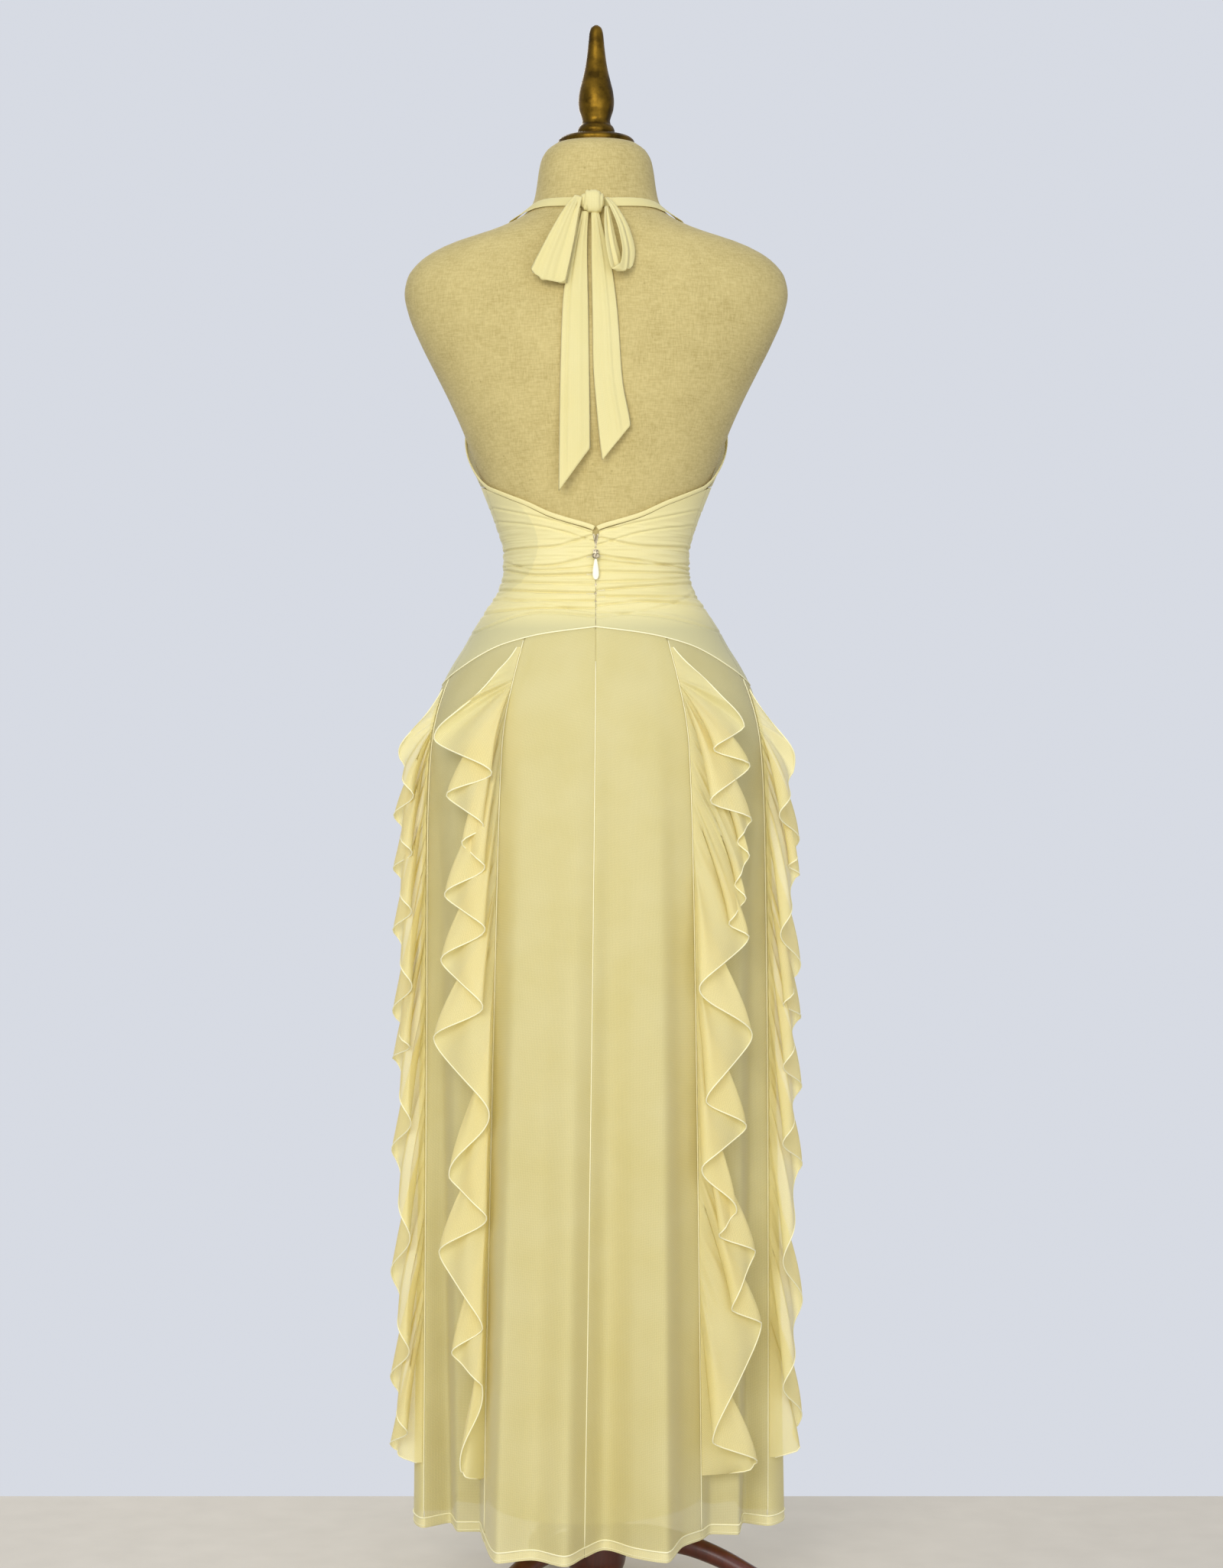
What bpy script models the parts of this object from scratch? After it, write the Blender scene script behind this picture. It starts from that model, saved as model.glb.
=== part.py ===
"""Ruffled halter maxi dress in sheer mesh, on a linen dress form with a wooden tripod.

Metres, +Z up. The front of the dress faces -Y and its left side is at +X.
The origin is on the floor, under the pole. Lengths in the tables are millimetres.
"""
import math
from bisect import bisect_right
from collections import namedtuple

import bmesh
import bpy
from mathutils import Vector

MM = 0.001

# Driving sizes of the cloth, in metres
CLOTH = 1.2 * MM                 # wall of one layer
SEAM_GAP = 0.4 * MM              # between two pieces sewn together
HEM_HEIGHT = 80 * MM             # hem above the floor
LINING_SHORTER = 20 * MM         # lining above the hem
GATHERS = 8                      # gathers across the midriff
GATHER_RISE = 2.4 * MM           # height of a gather at the zip
COLUMN_DEGREES = 5.0             # skirt columns

# Driving sizes of the dress form
FORM_BOTTOM = 760 * MM
FORM_SEGMENTS = 32
PLAN_SQUARENESS = 2.15           # 2 is an ellipse in plan, more is squarer
POLE_RADIUS = 12.5 * MM
HUB_TOP = 118 * MM
LEG_ANGLES = (50, 170, 290)      # degrees from +X, the first shows under the hem
FIT_GAP = 0.3 * MM               # between two hard parts that meet

Section = namedtuple("Section", "height half_width front back")
FORM_SECTIONS = (
    Section(760, 122, 70, 84),
    Section(790, 145, 82, 100),
    Section(830, 160, 91, 112),
    Section(880, 168, 97, 121),
    Section(920, 164, 98, 119),
    Section(950, 155.5, 95, 112),
    Section(970, 145.5, 92, 106),
    Section(990, 133.5, 89, 100),
    Section(1010, 123, 86, 94),
    Section(1030, 111, 82, 88),
    Section(1050, 99.5, 79, 83),
    Section(1072, 94, 78, 80),
    Section(1092, 94, 80, 80),
    Section(1112, 99, 84, 82),
    Section(1160, 117, 97, 89),
    Section(1220, 140, 114, 98),
    Section(1250, 153.5, 120, 100),
    Section(1280, 168.5, 121, 101),
    Section(1310, 183.5, 113, 99),
    Section(1340, 196, 99, 95),
    Section(1362, 200.5, 88, 91),
    Section(1378, 197.5, 80, 87),
    Section(1392, 188, 74, 83),
    Section(1404, 172, 70, 79),
    Section(1414, 150, 67, 76),
    Section(1424, 118, 65, 73),
    Section(1434, 92, 63, 70),
    Section(1445, 74, 61, 67),
    Section(1460, 65, 59, 64),
    Section(1500, 58, 56, 58),
    Section(1511, 52, 51, 52),
    Section(1517, 44, 43, 44),
)

# Plan of the skirt below the hip, before its folds
HIP_LEVEL = 960 * MM             # the skirt leaves the form below this
HIP_BLEND = 70 * MM              # and hangs free this much lower
FOLD_GROWTH = 1.25               # power by which the folds grow towards the hem
SKIRT_SECTIONS = (
    Section(80, 188, 148, 148),
    Section(200, 187, 145, 147),
    Section(400, 185, 138, 144),
    Section(600, 183, 129, 140),
    Section(800, 181, 115, 134),
    Section(860, 179, 110, 131),
    Section(910, 174, 105, 127),
    Section(950, 162, 101, 118),
    Section(990, 140, 95, 106),
)

# How far the middle of the cloth stands off the form
Ease = namedtuple("Ease", "height room")
MIDRIFF_ROOM = 3.2
EASE_ROWS = (Ease(900, 6.2), Ease(960, 6.0), Ease(1008, 4.9), Ease(1060, MIDRIFF_ROOM),
             Ease(1200, MIDRIFF_ROOM))

# A row for each fold of the skirt: the angle on the hip that it falls from, and its hem in plan
Fold = namedtuple("Fold", "angle kind x y")
HEM_FOLDS = (
    Fold(3, "ridge", 191, 4),
    Fold(13, "side seam left", 179, 34),
    Fold(22, "trough", 152, 14),
    Fold(31, "ridge", 142, 50),
    Fold(41, "trough", 121, 50),
    Fold(50, "side back seam left", 113, 92),
    Fold(60, "ridge", 96, 170),
    Fold(71, "trough", 63, 158),
    Fold(82, "ridge", 30, 182),
    Fold(90, "centre back seam", 11, 150),
    Fold(97, "trough", -9, 121),
    Fold(107, "ridge", -40, 152),
    Fold(116, "ridge", -70, 168),
    Fold(124, "trough", -88, 108),
    Fold(130, "side back seam right", -108, 82),
    Fold(141, "trough", -120, 60),
    Fold(151, "ridge", -146, 62),
    Fold(158, "trough", -153, 14),
    Fold(167, "side seam right", -178, 26),
    Fold(177, "ridge", -197, -4),
    Fold(188, "ridge", -190, -40),
    Fold(199, "trough", -156, -42),
    Fold(210, "ridge", -148, -78),
    Fold(220, "trough", -122, -66),
    Fold(230, "side front seam right", -106, -100),
    Fold(240, "ridge", -88, -162),
    Fold(252, "trough", -52, -142),
    Fold(264, "ridge", -20, -174),
    Fold(277, "trough", 20, -144),
    Fold(290, "ridge", 58, -170),
    Fold(300, "trough", 86, -140),
    Fold(310, "side front seam left", 110, -100),
    Fold(320, "trough", 124, -66),
    Fold(331, "ridge", 150, -76),
    Fold(341, "trough", 154, -40),
    Fold(353, "ridge", 188, -34),
)

Panel = namedtuple("Panel", "name start end")
SKIRT_PANELS = (
    Panel("skirt_side_back_left", 13, 50),
    Panel("skirt_back_left", 50, 90),
    Panel("skirt_back_right", 90, 130),
    Panel("skirt_side_back_right", 130, 167),
    Panel("skirt_side_front_right", 167, 230),
    Panel("skirt_front", 230, 310),
    Panel("skirt_side_front_left", 310, 373),
)
MIDRIFF_PANELS = (               # with the number of columns of each
    (Panel("midriff_back_left", 13, 90), 8),
    (Panel("midriff_back_right", 90, 167), 8),
    (Panel("midriff_front", 167, 373), 14),
)
GATHER_ZONE = (0.26, 0.96)       # shares of the midriff's height between which it is gathered
GATHER_FADE = 70                 # degrees from the zip over which the gathers flatten
GATHER_SIDE_SHARE = 0.5          # of their height that they keep past that
GATHER_UNEVEN = 0.25             # share by which their heights differ

# Plan of the lining where it hangs free
LINING_SECTIONS = (
    Section(80, 111, 90, 100),
    Section(300, 124, 97, 108),
    Section(500, 138, 102, 114),
    Section(650, 150, 105, 118),
    Section(780, 164, 104, 123),
    Section(860, 172, 103, 126),
)
LINING_COLUMNS = 32
LINING_LEAVES = 880 * MM         # it leaves the form below this
LINING_BLEND = 80 * MM
LINING_ROWS = (0, 0.045, 0.1, 0.17, 0.28, 0.5, 0.75, 1)
LINING_INSIDE = 2.1 * MM         # middle of the lining inside the middle of the skirt
LINING_SCOOP = 16 * MM           # the lining's edge rises by this on the far side
LINING_LOWEST_AT = 62            # angle where its edge is lowest
SKIRT_ROWS = (0, 0.045, 0.1, 0.17, 0.28, 0.42, 0.57, 0.72, 0.86, 1)

# Heights of the two seams round the body, by angle from the centre back
SeamLevel = namedtuple("SeamLevel", "turn yoke top")
SEAM_LEVELS = (
    SeamLevel(0, 1008, 1108),
    SeamLevel(30, 1001, 1122),
    SeamLevel(50, 991, 1138),
    SeamLevel(90, 951, 1162),
    SeamLevel(130, 974, 1166),
    SeamLevel(180, 988, 1160),
)

# Each ruffle: its seam's angle, the way it leans round the body (+1 towards larger angles), how far
# it stands out, the top of its seam, and the turning points of its wavy free edge from the bottom
# up: the height of each and how far it lies sideways of the seam
EdgeTurn = namedtuple("EdgeTurn", "height sweep")
BACK_LEFT_EDGE = (
    EdgeTurn(147, 0), EdgeTurn(159, 9), EdgeTurn(248, -11), EdgeTurn(276, 20), EdgeTurn(308, -10),
    EdgeTurn(376, 36), EdgeTurn(418, -12), EdgeTurn(454, 27), EdgeTurn(523, -12), EdgeTurn(592, 48),
    EdgeTurn(629, -3), EdgeTurn(671, 42), EdgeTurn(707, -3), EdgeTurn(737, 40), EdgeTurn(769, -1),
    EdgeTurn(789, 23), EdgeTurn(810, 2), EdgeTurn(838, 42), EdgeTurn(862, -5), EdgeTurn(896, 62),
    EdgeTurn(957, 18), EdgeTurn(987, 6),
)
BACK_RIGHT_EDGE = (
    EdgeTurn(147, 28), EdgeTurn(160, 43), EdgeTurn(190, -3), EdgeTurn(300, 50), EdgeTurn(322, 18),
    EdgeTurn(375, 44), EdgeTurn(398, 6), EdgeTurn(418, 24), EdgeTurn(467, -10), EdgeTurn(503, 36),
    EdgeTurn(535, -5), EdgeTurn(594, 44), EdgeTurn(648, -10), EdgeTurn(694, 42), EdgeTurn(712, 22),
    EdgeTurn(732, 39), EdgeTurn(752, 30), EdgeTurn(775, 44), EdgeTurn(795, 34), EdgeTurn(813, 49),
    EdgeTurn(834, 6), EdgeTurn(868, 50), EdgeTurn(886, 12), EdgeTurn(908, 49), EdgeTurn(987, 4),
)
SIDE_LEFT_EDGE = (
    EdgeTurn(148, 0), EdgeTurn(159, 18), EdgeTurn(190, -19), EdgeTurn(224, 19), EdgeTurn(277, -21),
    EdgeTurn(330, 21), EdgeTurn(395, -21), EdgeTurn(460, 21), EdgeTurn(511, -21), EdgeTurn(562, 19),
    EdgeTurn(584, -18), EdgeTurn(606, 19), EdgeTurn(650, -21), EdgeTurn(692, 19), EdgeTurn(725, -19),
    EdgeTurn(757, 19), EdgeTurn(784, -19), EdgeTurn(811, 19), EdgeTurn(843, -19), EdgeTurn(876, 21),
    EdgeTurn(946, 2),
)
SIDE_RIGHT_EDGE = (
    EdgeTurn(152, 0), EdgeTurn(182, 18), EdgeTurn(240, -21), EdgeTurn(298, 21), EdgeTurn(372, -21),
    EdgeTurn(447, 21), EdgeTurn(488, -21), EdgeTurn(529, 19), EdgeTurn(566, -19), EdgeTurn(604, 18),
    EdgeTurn(628, -18), EdgeTurn(652, 18), EdgeTurn(704, -21), EdgeTurn(753, 18), EdgeTurn(769, 3),
    EdgeTurn(785, 21), EdgeTurn(824, -19), EdgeTurn(862, 21), EdgeTurn(946, 2),
)
FRONT_EDGE = (
    EdgeTurn(148, 0), EdgeTurn(165, 30), EdgeTurn(205, -8), EdgeTurn(248, 38), EdgeTurn(292, -8),
    EdgeTurn(334, 38), EdgeTurn(376, -8), EdgeTurn(416, 40), EdgeTurn(458, -8), EdgeTurn(500, 40),
    EdgeTurn(540, -8), EdgeTurn(578, 42), EdgeTurn(616, -8), EdgeTurn(654, 42), EdgeTurn(690, -8),
    EdgeTurn(726, 44), EdgeTurn(760, -6), EdgeTurn(794, 44), EdgeTurn(828, -4), EdgeTurn(868, 46),
    EdgeTurn(968, 2),
)
Ruffle = namedtuple("Ruffle", "name angle lean reach top edge")
RUFFLES = (
    Ruffle("ruffle_back_left", 50, -1, 30, 991, BACK_LEFT_EDGE),
    Ruffle("ruffle_back_right", 130, 1, 30, 991, BACK_RIGHT_EDGE),
    Ruffle("ruffle_side_left", 13, -1, 26, 949, SIDE_LEFT_EDGE),
    Ruffle("ruffle_side_right", 167, 1, 26, 949, SIDE_RIGHT_EDGE),
    Ruffle("ruffle_front_left", 310, 1, 28, 973, FRONT_EDGE),
    Ruffle("ruffle_front_right", 230, -1, 28, 973, FRONT_EDGE),
)
RUFFLE_DROP = 120                # the free edge hangs this far below where it is sewn
RUFFLE_TOP_TAPER = 205           # length of free edge over which the drop grows at the top
RUFFLE_END_TAPER = 12            # and at the bottom
RUFFLE_REACH_TAPER = 70          # and over which it comes to stand out at the top
RUFFLE_LIFT = CLOTH + 0.5 * MM   # of the seam edge above the skirt
RUFFLE_FLARE = 1.4               # power by which the cloth opens near the seam, then hangs
RUFFLE_ROWS = (0, 0.2, 0.5, 1)   # shares of its width
SKIRT_ARC = 3.05                 # length of a degree round the skirt by the ruffles

# Halter front: the two long edges of each cup, by angle from the side (0) to the centre front (90)
CupEdge = namedtuple("CupEdge", "step arm_turn arm_height neck_turn neck_height")
CUP_EDGES = (
    CupEdge(0.0, -13, 1158, 90, 1160),
    CupEdge(0.16, 4, 1190, 90, 1206),
    CupEdge(0.45, 33, 1268, 74, 1272),
    CupEdge(0.7, 38, 1342, 60, 1342),
    CupEdge(0.88, 33, 1396, 47, 1398),
    CupEdge(1.0, 12, 1430, 24, 1436),
)
CUP_ROOM = 5.4                   # middle of the cloth off the form, past the seam below the bust
CUP_SEAM_SHARE = 0.1             # of a cup's length over which it meets that seam
CUP_ROOM_SHARE = 0.2             # and over which it stands off
CUP_APART = 0.12                 # degrees between each cup and the centre front
CUP_COLUMNS = 7
CUP_STEPS = (0, 0.08, 0.17, 0.28, 0.39, 0.5, 0.6, 0.69, 0.78, 0.86, 0.93, 1)

BINDING_WIDTH = 5 * MM
BINDING_THICKNESS = 1.8 * MM
BINDING_START = 89.3             # degrees round the side, by the zip
BINDING_CORNER = 15              # degrees round the side, where it turns up the armhole
FRILL_WAVES = 9
FRILL_HEIGHT = 12 * MM
FRILL_SPAN = (0.27, 0.985)       # shares of the cup's neck edge that it runs between
FRILL_INSET = 2 * MM             # its seam inside that edge
FRILL_SWING = 0.5                # how far its waves lean each way

# Strap round the neck: angle from the side towards the back, and height
StrapPoint = namedtuple("StrapPoint", "turn height")
STRAP_POINTS = (
    StrapPoint(-16, 1434.5),
    StrapPoint(4, 1437),
    StrapPoint(20, 1444),
    StrapPoint(40, 1447.5),
    StrapPoint(60, 1446.5),
    StrapPoint(84, 1444.5),
)
STRAP_WIDTH = 10 * MM
STRAP_THICKNESS = 1.4 * MM
STRAP_ROOM = 2.2 * MM

KNOT_CENTRE = Vector((3 * MM, 77.6 * MM, 1444 * MM))
KNOT_HALF = Vector((13 * MM, 7 * MM, 10 * MM))

ZIP_TOP = 1107 * MM
ZIP_BOTTOM = 972 * MM
ZIP_OPEN_TO = 1089 * MM          # the tapes part above this height
ZIP_MOUTH = 6 * MM               # gap between the tapes at the top
ZIP_SIDE_TURN = 77               # degrees round the side, from where the open edge curls away
TAPE_WIDTH = 9 * MM
TAPE_THICKNESS = 1 * MM
TAPE_ROOM = 1.15 * MM            # middle of the tape off the form
SLIDER_HEIGHT = 1084.5 * MM      # also the height of the axis that the pull swings on
SLIDER_PLATE = 1.6 * MM
BRIDGE_GAP = 1.7 * MM            # between the plate and the bridge over it
BRIDGE_BAR = 0.9 * MM
RING_WIRE = 0.45 * MM            # radius of the wire
RING_HALF_WIDTH = 3.4 * MM
RING_DROP = 5 * MM
PULL_HALF_THICKNESS = 0.8 * MM
PullRow = namedtuple("PullRow", "down half_width")
PULL_ROWS = (PullRow(0, 1.1), PullRow(2, 1.6), PullRow(6, 2.3), PullRow(11, 3.05), PullRow(15.5, 3.3),
             PullRow(18.5, 2.8), PullRow(20.3, 1.9), PullRow(21, 1.0))


def clear_scene():
    for item in list(bpy.data.objects):
        bpy.data.objects.remove(item, do_unlink=True)


def make_material(name, hex_colour, roughness, metallic=0.0):
    """Principled material from an sRGB hex colour."""
    material = bpy.data.materials.new(name)
    material.use_nodes = True
    shader = material.node_tree.nodes["Principled BSDF"]
    channels = [int(hex_colour[i:i + 2], 16) / 255 for i in (1, 3, 5)]
    linear = [c / 12.92 if c <= 0.04045 else ((c + 0.055) / 1.055) ** 2.4 for c in channels]
    shader.inputs["Base Color"].default_value = (*linear, 1.0)
    shader.inputs["Roughness"].default_value = roughness
    shader.inputs["Metallic"].default_value = metallic
    return material


def smooth_step(value):
    value = min(max(value, 0.0), 1.0)
    return value * value * (3 - 2 * value)


def mix(start, end, share):
    return start + (end - start) * share


def read_rows(rows, at, column):
    """Value of a named column at a place along the first column.

    The curve through the rows is smooth and never swings past a row.
    """
    keys = [row[0] for row in rows]
    values = [getattr(row, column) for row in rows]
    if at <= keys[0]:
        return values[0]
    if at >= keys[-1]:
        return values[-1]
    i = bisect_right(keys, at) - 1

    def slope(k):
        if k in (0, len(keys) - 1):
            low = min(k, len(keys) - 2)
            return (values[low + 1] - values[low]) / (keys[low + 1] - keys[low])
        before = (values[k] - values[k - 1]) / (keys[k] - keys[k - 1])
        after = (values[k + 1] - values[k]) / (keys[k + 1] - keys[k])
        return 2 * before * after / (before + after) if before * after > 0 else 0.0

    span = keys[i + 1] - keys[i]
    t = (at - keys[i]) / span
    rise = 3 * t * t - 2 * t ** 3
    return (values[i] * (1 - rise) + values[i + 1] * rise
            + span * (t - 2 * t * t + t ** 3) * slope(i)
            + span * (t ** 3 - t * t) * slope(i + 1))


def plan_point(sections, angle, height):
    """Point of a rounded plan at an angle in degrees from +X."""
    level = height / MM
    width = read_rows(sections, level, "half_width") * MM
    depth = read_rows(sections, level, "back" if math.sin(math.radians(angle)) > 0 else "front") * MM
    cos_a, sin_a = math.cos(math.radians(angle)), math.sin(math.radians(angle))
    power = PLAN_SQUARENESS
    radius = ((abs(cos_a) / width) ** power + (abs(sin_a) / depth) ** power) ** (-1 / power)
    return Vector((radius * cos_a, radius * sin_a, height))


def surface_normal(surface, u, v, step_u, step_v):
    """Outward normal of a surface whose u runs counter-clockwise and v runs up."""
    along_u = surface(u + step_u, v) - surface(u - step_u, v)
    along_v = surface(u, v + step_v) - surface(u, v - step_v)
    return along_u.cross(along_v).normalized()


def form_point(angle, height):
    return plan_point(FORM_SECTIONS, angle, height)


def on_form(angle, height, room):
    """Point at a distance off the form's surface."""
    return form_point(angle, height) + surface_normal(form_point, angle, height, 0.5, MM) * room


FOLDS_ROUND = ([row._replace(angle=row.angle - 360) for row in HEM_FOLDS[-2:]] + list(HEM_FOLDS)
               + [row._replace(angle=row.angle + 360) for row in HEM_FOLDS[:2]])


def hem_shift(angle):
    """How far the folds move the hem from its plain plan."""
    turned = angle % 360
    if turned < HEM_FOLDS[0].angle:
        turned += 360
    hem = Vector((read_rows(FOLDS_ROUND, turned, "x"), read_rows(FOLDS_ROUND, turned, "y"), 0)) * MM
    plain = plan_point(SKIRT_SECTIONS, angle, HEM_HEIGHT)
    return Vector((hem.x - plain.x, hem.y - plain.y, 0))


def turn_from_back(angle):
    """Degrees between an angle and the centre back."""
    return abs((angle - 90 + 180) % 360 - 180)


def yoke_height(angle):
    return read_rows(SEAM_LEVELS, turn_from_back(angle), "yoke") * MM


def midriff_top(angle):
    return read_rows(SEAM_LEVELS, turn_from_back(angle), "top") * MM


def ease(height):
    return read_rows(EASE_ROWS, height / MM, "room") * MM


def dress_point(angle, height):
    """Middle of the cloth of the skirt and midriff, before gathers."""
    close = on_form(angle, height, ease(height))
    if height > HIP_LEVEL:
        return close
    plain = plan_point(SKIRT_SECTIONS, angle, height)
    fall = (HIP_LEVEL - height) / (HIP_LEVEL - HEM_HEIGHT)
    hanging = plain + hem_shift(angle) * fall ** FOLD_GROWTH
    return close.lerp(hanging, smooth_step((HIP_LEVEL - height) / HIP_BLEND))


def add_object(name, bm, material, smooth=True):
    bmesh.ops.recalc_face_normals(bm, faces=bm.faces[:])
    if bm.calc_volume(signed=True) < 0:
        bmesh.ops.reverse_faces(bm, faces=bm.faces[:])
    mesh = bpy.data.meshes.new(name)
    bm.to_mesh(mesh)
    bm.free()
    if smooth:
        mesh.shade_smooth()
        mesh.set_sharp_from_angle(angle=math.radians(50))
    item = bpy.data.objects.new(name, mesh)
    item.data.materials.append(material)
    bpy.context.scene.collection.objects.link(item)
    return item


def add_wall(name, outer, inner, material, tube=False):
    """Closed wall between two grids of points, each a list of rows."""
    bm = bmesh.new()
    rows, columns = len(outer), len(outer[0])
    out = [[bm.verts.new(p) for p in row] for row in outer]
    back = [[bm.verts.new(p) for p in row] for row in inner]
    spans = columns if tube else columns - 1
    for i in range(rows - 1):
        for j in range(spans):
            k = (j + 1) % columns
            bm.faces.new((out[i][j], out[i][k], out[i + 1][k], out[i + 1][j]))
            bm.faces.new((back[i][j], back[i + 1][j], back[i + 1][k], back[i][k]))
    for i in (0, rows - 1):
        for j in range(spans):
            k = (j + 1) % columns
            bm.faces.new((out[i][j], back[i][j], back[i][k], out[i][k]))
    if not tube:
        for j in (0, columns - 1):
            for i in range(rows - 1):
                bm.faces.new((out[i][j], out[i + 1][j], back[i + 1][j], back[i][j]))
    return add_object(name, bm, material)


def add_sheet(name, surface, us, vs, steps, material, rise=None, thickness=CLOTH, tube=False):
    """Wall either side of a surface(u, v); rise(u, v) lifts its outer points."""
    outer, inner = [], []
    for v in vs:
        outer_row, inner_row = [], []
        for u in us:
            point = surface(u, v)
            normal = surface_normal(surface, u, v, *steps)
            lift = rise(u, v) if rise else 0.0
            outer_row.append(point + normal * (thickness / 2 + lift))
            inner_row.append(point - normal * thickness / 2)
        outer.append(outer_row)
        inner.append(inner_row)
    return add_wall(name, outer, inner, material, tube)


def spread(start, end, count):
    return [mix(start, end, i / count) for i in range(count + 1)]


def panel_surface(panel, low, high):
    """Dress surface over one panel: u from 0 to 1 across it, v from 0 to 1 between two heights.

    Both side edges are drawn in by half a seam gap.
    """
    def surface(u, v):
        angle = mix(panel.start, panel.end, u)
        height = mix(low(angle), high(angle), v)
        step = 0.2
        speed = (dress_point(angle + step, height) - dress_point(angle - step, height)).length / (2 * step)
        inset = SEAM_GAP / 2 / speed
        return dress_point(angle + inset * (1 - 2 * u), height)
    return surface


def make_skirt(material):
    rows = [1 - t for t in reversed(SKIRT_ROWS)]
    for panel in SKIRT_PANELS:
        surface = panel_surface(panel, lambda a: HEM_HEIGHT, lambda a: yoke_height(a) - SEAM_GAP / 2)
        columns = round((panel.end - panel.start) / COLUMN_DEGREES)
        add_sheet(panel.name, surface, spread(0, 1, columns), rows, (0.01, 0.004), material)


def make_lining(material):
    """Plain tube inside the skirt, clear of its troughs, with a scooped lower edge."""
    def surface(angle, v):
        scoop = LINING_SCOOP * (1 - math.cos(math.radians(angle - LINING_LOWEST_AT))) / 2
        height = mix(HEM_HEIGHT + LINING_SHORTER + scoop, yoke_height(angle) - 2.3 * MM, v)
        close = on_form(angle, height, ease(height) - LINING_INSIDE)
        if height > LINING_LEAVES:
            return close
        hanging = plan_point(LINING_SECTIONS, angle, height)
        return close.lerp(hanging, smooth_step((LINING_LEAVES - height) / LINING_BLEND))

    rows = [1 - t for t in reversed(LINING_ROWS)]
    add_sheet("lining", surface, [i * 360 / LINING_COLUMNS for i in range(LINING_COLUMNS)], rows,
              (0.5, 0.004), material, tube=True)


def gather_rise(angle, share):
    """Lift of the ruching: ridges run round the body and fade towards both edges."""
    if not GATHER_ZONE[0] < share < GATHER_ZONE[1]:
        return 0.0
    phase = (share - GATHER_ZONE[0]) / (GATHER_ZONE[1] - GATHER_ZONE[0]) * GATHERS
    strength = mix(1.0, GATHER_SIDE_SHARE, smooth_step(turn_from_back(angle) / GATHER_FADE))
    ridge = 0.5 - 0.5 * math.cos(2 * math.pi * phase)
    uneven = 1 - GATHER_UNEVEN + GATHER_UNEVEN * math.sin(2.3 * phase + 1)
    return GATHER_RISE * strength * ridge * uneven


def zip_mouth(height):
    """Half the gap between the two sides of the open end of the zip."""
    return ZIP_MOUTH / 2 * smooth_step((height - ZIP_OPEN_TO) / (ZIP_TOP - ZIP_OPEN_TO))


def make_midriff(material):
    low, high = GATHER_ZONE
    gather_rows = [low + (high - low) * i / (2 * GATHERS) for i in range(2 * GATHERS + 1)]
    rows = [0, low / 2] + gather_rows + [1]
    for panel, columns in MIDRIFF_PANELS:
        flat = panel_surface(panel, lambda a: yoke_height(a) + SEAM_GAP, midriff_top)

        def surface(u, v, flat=flat, panel=panel):
            point = flat(u, v)
            if panel.end == 90:
                point.x += zip_mouth(point.z) * abs(u) ** 5
            if panel.start == 90:
                point.x -= zip_mouth(point.z) * abs(1 - u) ** 5
            return point

        add_sheet(panel.name, surface, spread(0, 1, columns), rows, (0.005, 0.004), material,
                  rise=lambda u, v, panel=panel: gather_rise(mix(panel.start, panel.end, u), v))


def ruffle_drop(ruffle, edge):
    """How far the free edge at this height hangs below the place where it is sewn."""
    return (RUFFLE_DROP * smooth_step((ruffle.top - edge) / RUFFLE_TOP_TAPER)
            * smooth_step((edge - ruffle.edge[0].height) / RUFFLE_END_TAPER))


def ruffle_point(ruffle, edge, v):
    """Point of a cascade ruffle: v is 0 at its seam and 1 at its free edge."""
    height = (edge + ruffle_drop(ruffle, edge) * (1 - v)) * MM
    open_share = 1 - (1 - v) ** RUFFLE_FLARE
    stand_off = (ruffle.reach * smooth_step((ruffle.top - edge) / RUFFLE_REACH_TAPER)
                 * smooth_step(0.3 + (edge - ruffle.edge[0].height) / RUFFLE_END_TAPER))
    turn = ruffle.angle + ruffle.lean * read_rows(ruffle.edge, edge, "sweep") * open_share / SKIRT_ARC
    along = plan_point(SKIRT_SECTIONS, turn, height) - plan_point(SKIRT_SECTIONS, ruffle.angle, height)
    normal = surface_normal(lambda a, h: plan_point(SKIRT_SECTIONS, a, h), turn, height, 0.5, MM)
    normal = Vector((normal.x, normal.y, 0)).normalized()
    return (dress_point(ruffle.angle, height) + along
            + normal * (RUFFLE_LIFT + stand_off * open_share * MM))


def add_grid_wall(name, grid, thickness, material, level_seam=False):
    """Closed wall either side of a grid of points, along the mean normals of its faces.

    With level_seam the first row's normals are level instead, square to the way the cloth leaves it.
    """
    rows, columns = len(grid), len(grid[0])
    normals = [[Vector() for _ in range(columns)] for _ in range(rows)]
    for i in range(rows - 1):
        for j in range(columns - 1):
            across = grid[i + 1][j + 1] - grid[i][j]
            face = across.cross(grid[i + 1][j] - grid[i][j + 1]).normalized()
            for row, column in ((i, j), (i, j + 1), (i + 1, j), (i + 1, j + 1)):
                normals[row][column] += face
    if level_seam:
        level = [(out - seam).cross(Vector((0, 0, 1))) for seam, out in zip(grid[0], grid[1])]
        way = 1 if sum(a.dot(b) for a, b in zip(level, normals[0])) > 0 else -1
        normals[0] = [normal * way for normal in level]
    sides = []
    for way in (1, -1):
        sides.append([[p + n.normalized() * way * thickness / 2 for p, n in zip(row, row_normals)]
                      for row, row_normals in zip(grid, normals)])
    return add_wall(name, sides[0], sides[1], material)


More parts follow.
